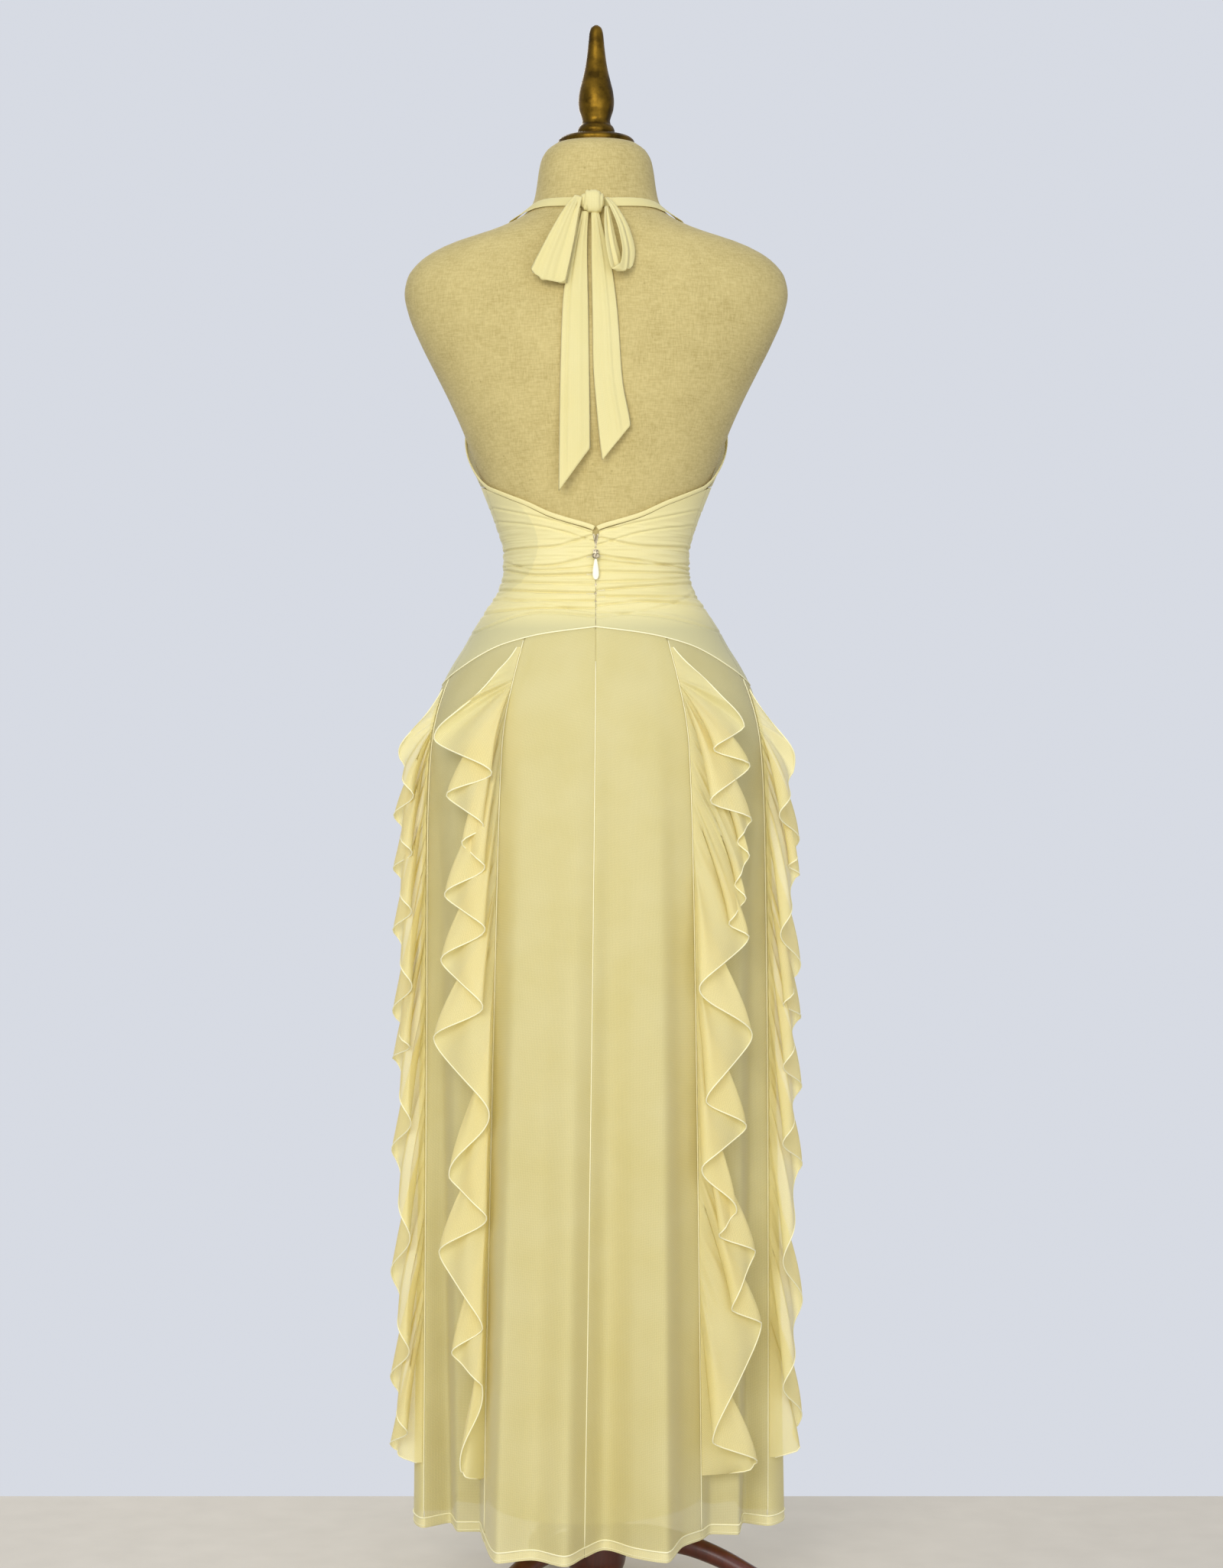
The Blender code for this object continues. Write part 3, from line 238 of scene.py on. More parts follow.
FRONT_EDGE = rows_of(EdgeTurn, (
    (148, 0), (165, 30), (205, -8), (248, 38), (292, -8), (334, 38), (376, -8), (416, 40), (458, -8),
    (500, 40), (540, -8), (578, 42), (616, -8), (654, 42), (690, -8), (726, 44), (760, -6), (794, 44),
    (828, -4), (868, 46), (968, 2),
))
Ruffle = namedtuple("Ruffle", "name angle lean reach top edge")
RUFFLES = (
    Ruffle("ruffle_back_left", 50, -1, 30, 991, BACK_LEFT_EDGE),
    Ruffle("ruffle_back_right", 130, 1, 30, 991, BACK_RIGHT_EDGE),
    Ruffle("ruffle_side_left", 13, -1, 26, 949, SIDE_LEFT_EDGE),
    Ruffle("ruffle_side_right", 167, 1, 26, 949, SIDE_RIGHT_EDGE),
    Ruffle("ruffle_front_left", 310, 1, 28, 973, FRONT_EDGE),
    Ruffle("ruffle_front_right", 230, -1, 28, 973, FRONT_EDGE),
)
RUFFLE_DROP = 120                # the free edge hangs this far below where it is sewn
RUFFLE_TOP_TAPER = 205           # length of free edge over which the drop grows at the top
RUFFLE_END_TAPER = 12            # and at the bottom
RUFFLE_END_SHARE = 0.3           # of its reach that it keeps at the very bottom
RUFFLE_REACH_TAPER = 70          # length over which it comes to stand out at the top
RUFFLE_LIFT = CLOTH + 0.5 * MM   # of the seam edge above the skirt
RUFFLE_FLARE = 1.4               # power by which the cloth opens near the seam, then hangs
SKIRT_ARC = 3.05                 # length of a degree round the skirt by the ruffles

# Halter front: the two long edges of each cup, by angle from the side (0) to the centre front (90)
CupEdge = namedtuple("CupEdge", "step arm_turn arm_height neck_turn neck_height")
CUP_EDGES = rows_of(CupEdge, (
    (0.0, -13, 1158, 90, 1160),
    (0.16, 4, 1190, 90, 1206),
    (0.45, 33, 1268, 74, 1272),
    (0.7, 38, 1342, 60, 1342),
    (0.88, 33, 1396, 47, 1398),
    (1.0, 12, 1430, 24, 1436),
))
CUP_ROOM = 5.4                   # middle of the cloth off the form, past the seam below the bust
CUP_SEAM_SHARE = 0.1             # of a cup's length over which it meets that seam
CUP_ROOM_SHARE = 0.2             # and over which it stands off
CUP_APART = 0.12                 # degrees between each cup and the centre front
CUP_SEAM_GAP = 2.2 * SEAM_GAP    # above the midriff's top

BINDING_START = 89.3             # degrees round the side, by the zip
BINDING_CORNER = 15              # degrees round the side, where it turns up the armhole
FRILL_WAVES = 9
FRILL_HEIGHT = 12 * MM
FRILL_SPAN = (0.27, 0.985)       # shares of the cup's neck edge that it runs between
FRILL_INSET = 2 * MM             # its seam inside that edge
FRILL_SWING = 0.5                # how far its waves lean each way

# Strap round the neck: angle from the side towards the back, and height
StrapPoint = namedtuple("StrapPoint", "turn height")
STRAP_POINTS = rows_of(StrapPoint, (
    (-16, 1434.5), (4, 1437), (20, 1444), (40, 1447.5), (60, 1446.5), (84, 1444.5),
))
STRAP_WIDTH = 10 * MM
STRAP_THICKNESS = 1.4 * MM
STRAP_ROOM = 2.2 * MM            # middle of the strap off the form
STRAP_STEPS = 14

KNOT_CENTRE = Vector((3 * MM, 77.6 * MM, 1444 * MM))
KNOT_HALF = Vector((13 * MM, 7 * MM, 10 * MM))

ZIP_TOP = 1107 * MM
ZIP_BOTTOM = 972 * MM
ZIP_OPEN_TO = 1089 * MM          # the tapes part above this height
ZIP_MOUTH = 6 * MM               # gap between the tapes at the top
ZIP_SIDE_TURN = 77               # degrees round the side, from where the open edge curls away
TAPE_WIDTH = 9 * MM
TAPE_THICKNESS = 1 * MM
TAPE_ROOM = 1.15 * MM            # middle of the tape off the form
SLIDER_HEIGHT = 1084.5 * MM      # also the height of the axis that the pull swings on
RING_WIRE = 0.45 * MM            # radius of the wire
RING_HALF_WIDTH = 3.4 * MM
RING_DROP = 5 * MM
PULL_HALF_THICKNESS = 0.8 * MM
PullRow = namedtuple("PullRow", "down half_width")
PULL_ROWS = rows_of(PullRow, (
    (0, 1.1), (2, 1.6), (6, 2.3), (11, 3.05), (15.5, 3.3), (18.5, 2.8), (20.3, 1.9), (21, 1.0),
))


def smooth_step(value):
    """Share that eases in and out: 0 up to 0, and 1 from 1 on."""
    value = min(max(value, 0.0), 1.0)
    return value * value * (3 - 2 * value)


def mix(start, end, share):
    """Value at a share of the way from start to end."""
    return start + (end - start) * share


CURVES = {}                      # through the columns of the tables, each made once


def read_rows(rows, at, column):
    """Value of a named column at a place along the first column.

    The curve through the rows is smooth and never swings past a row.
    """
    if (id(rows), column) not in CURVES:
        CURVES[id(rows), column] = make_curve(rows, column)
    keys, values, slopes = CURVES[id(rows), column]
    if at <= keys[0]:
        return values[0]
    if at >= keys[-1]:
        return values[-1]
    i = bisect_right(keys, at) - 1
    span = keys[i + 1] - keys[i]
    t = (at - keys[i]) / span
    rise = 3 * t * t - 2 * t ** 3
    return (values[i] * (1 - rise) + values[i + 1] * rise
            + span * (t - 2 * t * t + t ** 3) * slopes[i]
            + span * (t ** 3 - t * t) * slopes[i + 1])


def make_curve(rows, column):
    keys = [row[0] for row in rows]
    values = [getattr(row, column) for row in rows]
    steps = [(values[k + 1] - values[k]) / (keys[k + 1] - keys[k]) for k in range(len(keys) - 1)]
    slopes = [2 * a * b / (a + b) if a * b > 0 else 0.0 for a, b in zip(steps, steps[1:])]
    return keys, values, [steps[0]] + slopes + [steps[-1]]


def plan_point(sections, angle, height):
    """Point of a rounded plan at an angle in degrees from +X."""
    level = height / MM
    width = read_rows(sections, level, "half_width") * MM
    depth = read_rows(sections, level, "back" if math.sin(math.radians(angle)) > 0 else "front") * MM
    cos_a, sin_a = math.cos(math.radians(angle)), math.sin(math.radians(angle))
    power = PLAN_SQUARENESS
    radius = ((abs(cos_a) / width) ** power + (abs(sin_a) / depth) ** power) ** (-1 / power)
    return Vector((radius * cos_a, radius * sin_a, height))


def surface_normal(surface, u, v, step_u=0.5, step_v=MM):
    """Outward normal of a surface whose u runs counter-clockwise and v runs up.

    The slopes are read over the steps: half a degree and a millimetre unless they are given.
    """
    along_u = surface(u + step_u, v) - surface(u - step_u, v)
    along_v = surface(u, v + step_v) - surface(u, v - step_v)
    return along_u.cross(along_v).normalized()


def form_point(angle, height):
    return plan_point(FORM_SECTIONS, angle, height)


def on_form(angle, height, room):
    """Point at a distance off the form's surface."""
    return form_point(angle, height) + surface_normal(form_point, angle, height) * room


FOLDS_ROUND = ([row._replace(angle=row.angle - 360) for row in HEM_FOLDS[-2:]] + HEM_FOLDS
               + [row._replace(angle=row.angle + 360) for row in HEM_FOLDS[:2]])


def hem_shift(angle):
    """How far the folds move the hem from its plain plan."""
    turned = angle % 360
    if turned < HEM_FOLDS[0].angle:
        turned += 360
    hem = Vector((read_rows(FOLDS_ROUND, turned, "x"), read_rows(FOLDS_ROUND, turned, "y"), 0)) * MM
    plain = plan_point(SKIRT_SECTIONS, angle, HEM_HEIGHT)
    return Vector((hem.x - plain.x, hem.y - plain.y, 0))


def turn_from_back(angle):
    """Degrees between an angle and the centre back."""
    return abs((angle - 90 + 180) % 360 - 180)


def yoke_height(angle):
    return read_rows(SEAM_LEVELS, turn_from_back(angle), "yoke") * MM


def midriff_top(angle):
    return read_rows(SEAM_LEVELS, turn_from_back(angle), "top") * MM


def ease(height):
    return read_rows(EASE_ROWS, height / MM, "room") * MM


def dress_point(angle, height):
    """Middle of the cloth of the skirt and midriff, before gathers."""
    close = on_form(angle, height, ease(height))
    if height > HIP_LEVEL:
        return close
    plain = plan_point(SKIRT_SECTIONS, angle, height)
    fall = (HIP_LEVEL - height) / (HIP_LEVEL - HEM_HEIGHT)
    hanging = plain + hem_shift(angle) * fall ** FOLD_GROWTH
    return close.lerp(hanging, smooth_step((HIP_LEVEL - height) / HIP_BLEND))


def spread(start, end, count):
    """Values from start to end in a number of even steps."""
    return [mix(start, end, i / count) for i in range(count + 1)]


def panel_surface(panel, low, high):
    """Dress surface over one panel: u from 0 to 1 across it, v from 0 to 1 between two heights.

    Both side edges are drawn in by half a seam gap.
    """
    def surface(u, v):
        angle = mix(panel.start, panel.end, u)
        height = mix(low(angle), high(angle), v)
        step = 0.2
        speed = (dress_point(angle + step, height) - dress_point(angle - step, height)).length / (2 * step)
        inset = SEAM_GAP / 2 / speed
        return dress_point(angle + inset * (1 - 2 * u), height)
    return surface


def zip_mouth(height):
    """Half the gap between the two sides of the open end of the zip."""
    return ZIP_MOUTH / 2 * smooth_step((height - ZIP_OPEN_TO) / (ZIP_TOP - ZIP_OPEN_TO))


def level_normal(angle, height):
    """Direction away from the skirt's plain plan, without its slope."""
    normal = surface_normal(lambda a, h: plan_point(SKIRT_SECTIONS, a, h), angle, height)
    return Vector((normal.x, normal.y, 0)).normalized()


def ruffle_drop(ruffle, edge):
    """How far the free edge at this height hangs below the place where it is sewn."""
    return (RUFFLE_DROP * smooth_step((ruffle.top - edge) / RUFFLE_TOP_TAPER)
            * smooth_step((edge - ruffle.edge[0].height) / RUFFLE_END_TAPER))


def ruffle_point(ruffle, edge, v):
    """Point of a cascade ruffle: v is 0 at its seam and 1 at its free edge."""
    height = (edge + ruffle_drop(ruffle, edge) * (1 - v)) * MM
    open_share = 1 - (1 - v) ** RUFFLE_FLARE
    stand_off = (ruffle.reach * smooth_step((ruffle.top - edge) / RUFFLE_REACH_TAPER)
                 * smooth_step(RUFFLE_END_SHARE + (edge - ruffle.edge[0].height) / RUFFLE_END_TAPER))
    turn = ruffle.angle + ruffle.lean * read_rows(ruffle.edge, edge, "sweep") * open_share / SKIRT_ARC
    along = plan_point(SKIRT_SECTIONS, turn, height) - plan_point(SKIRT_SECTIONS, ruffle.angle, height)
    return (dress_point(ruffle.angle, height) + along
            + level_normal(turn, height) * (RUFFLE_LIFT + stand_off * open_share * MM))


def side_angle(side, turn):
    """Angle from +X for a turn from the side towards the front, on side +1 left or -1 right."""
    return -turn if side > 0 else 180 + turn


def cup_surface(side):
    """Halter front of one side: u from the armhole edge to the neck edge, v upwards."""
    def surface(u, v):
        neck_turn = read_rows(CUP_EDGES, v, "neck_turn") - CUP_APART
        turn = mix(read_rows(CUP_EDGES, v, "arm_turn"), neck_turn, u)
        height = mix(read_rows(CUP_EDGES, v, "arm_height"), read_rows(CUP_EDGES, v, "neck_height"), u) * MM
        angle = side_angle(side, turn)
        seam = midriff_top(angle) + CUP_SEAM_GAP
        height += (seam - height) * smooth_step(1 - v / CUP_SEAM_SHARE)
        return on_form(angle, height, mix(MIDRIFF_ROOM, CUP_ROOM, smooth_step(v / CUP_ROOM_SHARE)) * MM)
    return surface


def strap_line(side):
    """Middle of a neck strap and the outward direction along it."""
    centres, normals = [], []
    for turn in spread(STRAP_POINTS[0].turn, STRAP_POINTS[-1].turn, STRAP_STEPS):
        angle = side_angle(side, -turn)
        height = read_rows(STRAP_POINTS, turn, "height") * MM
        normals.append(surface_normal(form_point, angle, height))
        centres.append(on_form(angle, height, STRAP_ROOM))
    return centres, normals


# Bow: each piece is a band along a row of centres, with its width
BAND_CUT_SHARE = 0.3             # of a band's length over which its end is cut to a slant
BandPoint = namedtuple("BandPoint", "step x y z width")
BOW_LOOP_LEFT = rows_of(BandPoint, (
    (0, 17.5, 82.0, 1449, 8), (1, 24, 91, 1434, 15), (2, 34, 99.5, 1405, 26), (3, 43.5, 106, 1375, 34),
    (4, 47.5, 106.5, 1359, 37), (5, 46.5, 100, 1360, 36), (6, 40, 96, 1383, 30), (7, 29, 88, 1411, 19),
    (8, 18.6, 78.5, 1438, 7),
))
BOW_LOOP_RIGHT = rows_of(BandPoint, (
    (0, -11.4, 78.0, 1448, 6), (1, -19, 85, 1436, 12), (2, -29, 91, 1413, 18), (3, -33.5, 96.5, 1389, 21),
    (4, -31.5, 101.5, 1371, 22), (5, -24, 104.5, 1370, 22), (6, -18, 103.5, 1388, 20),
    (7, -13.5, 96.5, 1414, 15), (8, -11.1, 86, 1437.5, 7),
))
BOW_TAIL_LEFT = rows_of(BandPoint, (
    (0, 10.8, 78.2, 1433.8, 7), (1, 13.8, 82.2, 1415, 11), (2, 17.5, 90.0, 1384, 18),
    (3, 20.4, 98.2, 1340, 26), (4, 21, 102.2, 1285, 29), (5, 21.3, 102.7, 1225, 31),
    (6, 21.5, 102.7, 1168, 32),
))
BOW_TAIL_RIGHT = rows_of(BandPoint, (
    (0, 0.8, 78.2, 1433.4, 8), (1, -1.5, 82.2, 1415, 12), (2, -5.5, 91.0, 1380, 20),
    (3, -9.5, 99.6, 1325, 26), (4, -12, 102.5, 1268, 29), (5, -16.5, 102.8, 1228, 30),
    (6, -21, 102.7, 1195, 29),
))


def band_surface(rows, across, bow, slant):
    """Band of cloth whose width runs along across; it bows by bow, and slant cuts its lower end."""
    across = Vector(across).normalized()

    def surface(u, s):
        place = s * rows[-1].step
        centre = Vector([read_rows(rows, place, axis) for axis in "xyz"]) * MM
        width = read_rows(rows, place, "width") * MM
        side = u - 0.5
        low = slant * side * smooth_step((s - (1 - BAND_CUT_SHARE)) / BAND_CUT_SHARE)
        return centre + across * side * width + Vector((0, bow * (1 - 4 * side * side), low))
    return surface


TurnedRow = namedtuple("TurnedRow", "height radius")
CAP_PROFILE = rows_of(TurnedRow, (
    (1517.3, 39), (1521.5, 40), (1525, 37), (1527.5, 28), (1529, 19),
))
FINIAL_PROFILE = rows_of(TurnedRow, (
    (1529.3, 18.5), (1533, 19.4), (1537, 18), (1540.5, 15.2), (1544, 14.6), (1549, 15.8), (1556, 18),
    (1564, 18.7), (1573, 17.9), (1584, 15.4), (1596, 12.4), (1608, 10.3), (1622, 8.6), (1635, 7.3),
    (1641, 5.6), (1644, 2.2),
))
HUB_PROFILE = rows_of(TurnedRow, (
    (22, 20), (30, 28), (42, 31), (78, 31), (88, 26), (96, 27), (106, 21), (118, 17),
))

# Each leg: distance from the pole and height of its centre line, with its section
LegPoint = namedtuple("LegPoint", "step out height wide thick")
LEG_POINTS = rows_of(LegPoint, (
    (0, 31.15, 60, 22, 34), (1, 58, 64, 23, 26), (2, 92, 59, 23, 22), (3, 126, 48, 22, 20),
    (4, 157, 33, 21, 19), (5, 178, 20, 22, 20), (6, 187, 9, 24, 24), (7, 188, 0, 24, 24),
))


# Small soft folds of the cloth, on top of the folds that the solids have
RIPPLE = 2.6 * MM
RIPPLE_TURN = 3.0                # folds round the body, in noise units per radius
RIPPLE_RISE = 1.1                # and up it, per metre
RIPPLE_TOP = 920 * MM            # there are none above this
RIPPLE_BLEND = 380 * MM          # and they are full this much lower


def outwards(angle):
    return Vector((math.cos(math.radians(angle)), math.sin(math.radians(angle)), 0))


def ripple(angle, height):
    """How far the small folds move the skirt outwards."""
    turn = math.radians(angle)
    place = Vector((math.cos(turn) * RIPPLE_TURN, math.sin(turn) * RIPPLE_TURN, height * RIPPLE_RISE))
    return RIPPLE * smooth_step((RIPPLE_TOP - height) / RIPPLE_BLEND) * noise.noise(place)


def skirt_point(angle, height):
    """Middle of the skirt's cloth with its small folds."""
    return dress_point(angle, height) + outwards(angle) * ripple(angle, height)


# Materials
GATHERS_END = (1.008, 1.03)      # heights between which the stacked gathers thin out to one layer
FACING_CENTRE = (0.0966, 0.03, 1.099)    # the bodice's inner layer ends in a round edge on this side
FACING_RADII = (53 * MM, 54.5 * MM)
FACING_SHARE = 0.34              # how much thinner the cloth looks past that edge
HEM_BAND = (90.2 * MM, 91.0 * MM)        # top of the doubled hem
KNIT_PITCH = 1.1 * MM            # the mesh's holes are really half as far apart, drawn coarser to show
JERSEY_PITCH = 0.9 * MM          # and so are the lining's stitches
KNIT_BLOTCH = 71.43 * MM         # soft unevenness of its tone
LINEN_YARN = 1.3 * MM            # real yarns are about half as thick, drawn coarser so that they show
LINEN_STAIN = 45.45 * MM
LINEN_SLUB = 16.67 * MM          # between the thick places of its yarns
WOOD_GRAIN = 5.556 * MM          # a dark streak of the grain, across it
WOOD_STREAK = 0.15               # how much slower the grain changes along its length
YARN_STREAK = 0.16               # and so for a yarn


def linear(hex_colour):
    """Linear colour from an sRGB hex value."""
    channels = [int(hex_colour[i:i + 2], 16) / 255 for i in (1, 3, 5)]
    return (*[c / 12.92 if c <= 0.04045 else ((c + 0.055) / 1.055) ** 2.4 for c in channels], 1.0)


def add_node(tree, kind, sockets=None, **settings):
    """Adds a shader node. Each of its sockets gets a value, an output, or the node that feeds it.

    A node feeds through the first of its outputs that is in use.
    """
    node = tree.nodes.new("ShaderNode" + kind)
    for name, value in settings.items():
        setattr(node, name, value)
    for name, value in (sockets or {}).items():
        if isinstance(value, bpy.types.Node):
            value = next(output for output in value.outputs if output.enabled)
        if isinstance(value, bpy.types.NodeSocket):
            tree.links.new(value, node.inputs[name])
        else:
            node.inputs[name].default_value = value
    return node


def new_material(name):
    """Empty material and its node tree."""
    material = bpy.data.materials.new(name)
    material.use_nodes = True
    material.node_tree.nodes.clear()
    return material, material.node_tree


def below(tree, heights):
    """Mask that is 1 below the first height and 0 above the second."""
    place = add_node(tree, "TexCoord").outputs["Object"]
    height = add_node(tree, "SeparateXYZ", {0: place}).outputs["Z"]
    return add_node(tree, "MapRange", {"Value": height, "From Min": heights[0], "From Max": heights[1],
                                       "To Min": 1.0, "To Max": 0.0})


def single_layer(tree):
    """Mask of the midriff: 1 where one layer of mesh lies on the lining, 0 where the gathers stack up."""
    place = add_node(tree, "TexCoord").outputs["Object"]
    away = add_node(tree, "VectorMath", {0: place, 1: FACING_CENTRE}, operation="DISTANCE")
    patch = add_node(tree, "MapRange", {"Value": away, "From Min": FACING_RADII[0],
                                        "From Max": FACING_RADII[1], "To Min": FACING_SHARE, "To Max": 0.0})
    return add_node(tree, "Math", {0: below(tree, GATHERS_END), 1: patch}, operation="MAXIMUM")


def doubled_hem(tree):
    """Mask of the skirt: 1 on the turned-up hem, where two layers look lighter."""
    return below(tree, HEM_BAND)


def knit_material(name, light, deep, glow, sheer, through, pitch=KNIT_PITCH, mask=None, other="#FFFFFF"):
    """Fine knitted mesh or jersey: matt, slightly fuzzy, with small holes, so light glows in its folds.

    light and deep are its colours on the knit and between it, glow the colour of light coming through.
    sheer is the share of what lies behind that shows, through the share of light that the yarn scatters on.
    Where its mask is 1, the cloth has the other colour.
    """
    material, tree = new_material(name)
    uv = add_node(tree, "UVMap")
    cells = add_node(tree, "VectorMath", {0: uv, "Scale": 1 / pitch}, operation="SCALE")
    holes = add_node(tree, "TexVoronoi", {"Vector": cells, "Scale": 1.0, "Randomness": 0.18},
                     voronoi_dimensions="2D")
    blotches = add_node(tree, "TexNoise", {"Vector": uv, "Scale": 1 / KNIT_BLOTCH, "Detail": 3.0})
    shade = add_node(tree, "MapRange", {"Value": blotches, "From Min": 0.35, "From Max": 0.65,
                                        "To Min": 0.0, "To Max": 0.35})
    knit = add_node(tree, "MapRange", {"Value": holes, "From Min": 0.1, "From Max": 0.6,
                                       "To Min": 0.35, "To Max": 0.0})
    mixed = add_node(tree, "Math", {0: shade, 1: knit}, operation="ADD")
    colour = add_node(tree, "Mix", {0: mixed, 6: linear(light), 7: linear(deep)}, data_type="RGBA")
    if mask:
        colour = add_node(tree, "Mix", {0: mask(tree), 6: colour, 7: linear(other)}, data_type="RGBA")
    bump = add_node(tree, "Bump", {"Height": holes, "Strength": 0.35, "Distance": 0.25 * MM})
    face = add_node(tree, "BsdfPrincipled", {"Base Color": colour, "Roughness": 0.8, "Sheen Weight": 0.25,
                                             "Specular IOR Level": 0.25, "Normal": bump})
    scatter = add_node(tree, "BsdfTranslucent", {"Color": linear(glow), "Normal": bump})
    cloth = add_node(tree, "MixShader", {0: through, 1: face, 2: scatter})
    gaps = add_node(tree, "MapRange", {"Value": holes, "From Min": 0.0, "From Max": 0.6,
                                       "To Min": sheer * 1.6, "To Max": sheer * 0.4})
    clear = add_node(tree, "BsdfTransparent")
    whole = add_node(tree, "MixShader", {0: gaps, 1: cloth, 2: clear})
    add_node(tree, "OutputMaterial", {"Surface": whole})
    return material


def linen_material():
    """Unbleached linen cover of the form: fine matt plain weave, blotchy with age, with dark slubs."""
    material, tree = new_material("form_linen_weave")
    place = add_node(tree, "TexCoord").outputs["Object"]
    across, along = 1 / LINEN_YARN, YARN_STREAK / LINEN_YARN
    warp, weft = [
        add_node(tree, "TexNoise", {"Vector": add_node(tree, "Mapping", {"Vector": place, "Scale": scale}),
                                    "Scale": 1.0, "Detail": 2.0})
        for scale in ((across, across, along), (along, along, across))]
    weave = add_node(tree, "Mix", {0: 0.5, 2: warp, 3: weft})
    stains = add_node(tree, "TexNoise", {"Vector": place, "Scale": 1 / LINEN_STAIN, "Detail": 6.0,
                                         "Roughness": 0.65})
    slubs = add_node(tree, "TexVoronoi", {"Vector": place, "Scale": 1 / LINEN_SLUB, "Randomness": 1.0})
    tone = add_node(tree, "Mix", {0: stains, 6: linear("#C7B67A"), 7: linear("#9F8E56")}, data_type="RGBA")
    grain = add_node(tree, "MapRange", {"Value": weave, "From Min": 0.38, "From Max": 0.62,
                                        "To Min": 0.0, "To Max": 0.5})
    threads = add_node(tree, "Mix", {0: grain, 6: tone, 7: linear("#D6C68C")}, data_type="RGBA")
    knots = add_node(tree, "MapRange", {"Value": slubs, "From Min": 0.0, "From Max": 0.09,
                                        "To Min": 0.6, "To Max": 0.0})
    colour = add_node(tree, "Mix", {0: knots, 6: threads, 7: linear("#8C7D48")}, data_type="RGBA")
    bump = add_node(tree, "Bump", {"Height": weave, "Strength": 0.35, "Distance": 0.4 * MM})
    face = add_node(tree, "BsdfPrincipled", {"Base Color": colour, "Roughness": 0.9, "Sheen Weight": 0.1,
                                             "Specular IOR Level": 0.25, "Normal": bump})
    add_node(tree, "OutputMaterial", {"Surface": face})
    return material


def metal_material(name, light, dark, roughness, metallic, patch, depth):
    """Painted or plated metal with patches of wear: dark where it is dull, light where it is fresh."""
    material, tree = new_material(name)
    place = add_node(tree, "TexCoord").outputs["Object"]
    wear = add_node(tree, "TexNoise", {"Vector": place, "Scale": 1 / patch, "Detail": 5.0,
                                       "Roughness": 0.6})
    fine = add_node(tree, "TexNoise", {"Vector": place, "Scale": 12 / patch, "Detail": 3.0})
    share = add_node(tree, "MapRange", {"Value": wear, "From Min": 0.38, "From Max": 0.62})
    colour = add_node(tree, "Mix", {0: share, 6: linear(dark), 7: linear(light)}, data_type="RGBA")
    rough = add_node(tree, "MapRange", {"Value": wear, "To Min": roughness + 0.12,
                                        "To Max": roughness - 0.08})
    bump = add_node(tree, "Bump", {"Height": fine, "Strength": depth, "Distance": 0.3 * MM})
    face = add_node(tree, "BsdfPrincipled", {"Base Color": colour, "Roughness": rough,
                                             "Metallic": metallic, "Normal": bump})
    add_node(tree, "OutputMaterial", {"Surface": face})
    return material


def wood_material():
    """Shaped hardwood under dark red-brown varnish: fine grain that runs upwards, semi-gloss."""
    material, tree = new_material("varnished_hardwood")
    place = add_node(tree, "TexCoord").outputs["Object"]
    streaks = (1 / WOOD_GRAIN, 1 / WOOD_GRAIN, WOOD_STREAK / WOOD_GRAIN)
    stretched = add_node(tree, "Mapping", {"Vector": place, "Scale": streaks})
    grain = add_node(tree, "TexNoise", {"Vector": stretched, "Scale": 1.0, "Detail": 6.0,
                                        "Roughness": 0.6, "Distortion": 0.6})
    colour = add_node(tree, "Mix", {0: grain, 6: linear("#2E0D04"), 7: linear("#6B2A12")},
                      data_type="RGBA")
    bump = add_node(tree, "Bump", {"Height": grain, "Strength": 0.15, "Distance": 0.3 * MM})
    face = add_node(tree, "BsdfPrincipled", {"Base Color": colour, "Roughness": 0.38, "Coat Weight": 0.35,
                                             "Coat Roughness": 0.2, "Normal": bump})
    add_node(tree, "OutputMaterial", {"Surface": face})
    return material


def plain_material(name, light, dark, roughness, grain_size, strength=0.2):
    """Matt or satin surface with a fine grain, such as yarn, enamel or a painted floor."""
    material, tree = new_material(name)
    place = add_node(tree, "TexCoord").outputs["Object"]
    grain = add_node(tree, "TexNoise", {"Vector": place, "Scale": 1 / grain_size, "Detail": 4.0})
    colour = add_node(tree, "Mix", {0: grain, 6: linear(dark), 7: linear(light)}, data_type="RGBA")
    bump = add_node(tree, "Bump", {"Height": grain, "Strength": strength, "Distance": 0.2 * MM})
    face = add_node(tree, "BsdfPrincipled", {"Base Color": colour, "Roughness": roughness, "Normal": bump})
    add_node(tree, "OutputMaterial", {"Surface": face})
    return material


# Mesh helpers
BOX_CORNERS = [(x, y, z) for z in (-1, 1) for x, y in ((-1, -1), (1, -1), (1, 1), (-1, 1))]
BOX_FACES = ((0, 3, 2, 1), (4, 5, 6, 7), (0, 1, 5, 4), (1, 2, 6, 5), (2, 3, 7, 6), (3, 0, 4, 7))


def circle(count):
    """Turns in radians, spaced evenly round a circle."""
    return [2 * math.pi * k / count for k in range(count)]


def hump(at, middle, width):
    """Soft hump of height 1 round a place."""
    return math.exp(-((at - middle) / width) ** 2)


def both_sides(name):
    """The left piece of a pair, on side +1, and the right one, on side -1."""
    return (1, name + "_left"), (-1, name + "_right")


def box_points(middle, half):
    return [middle + Vector((x * half.x, y * half.y, z * half.z)) for x, y, z in BOX_CORNERS]


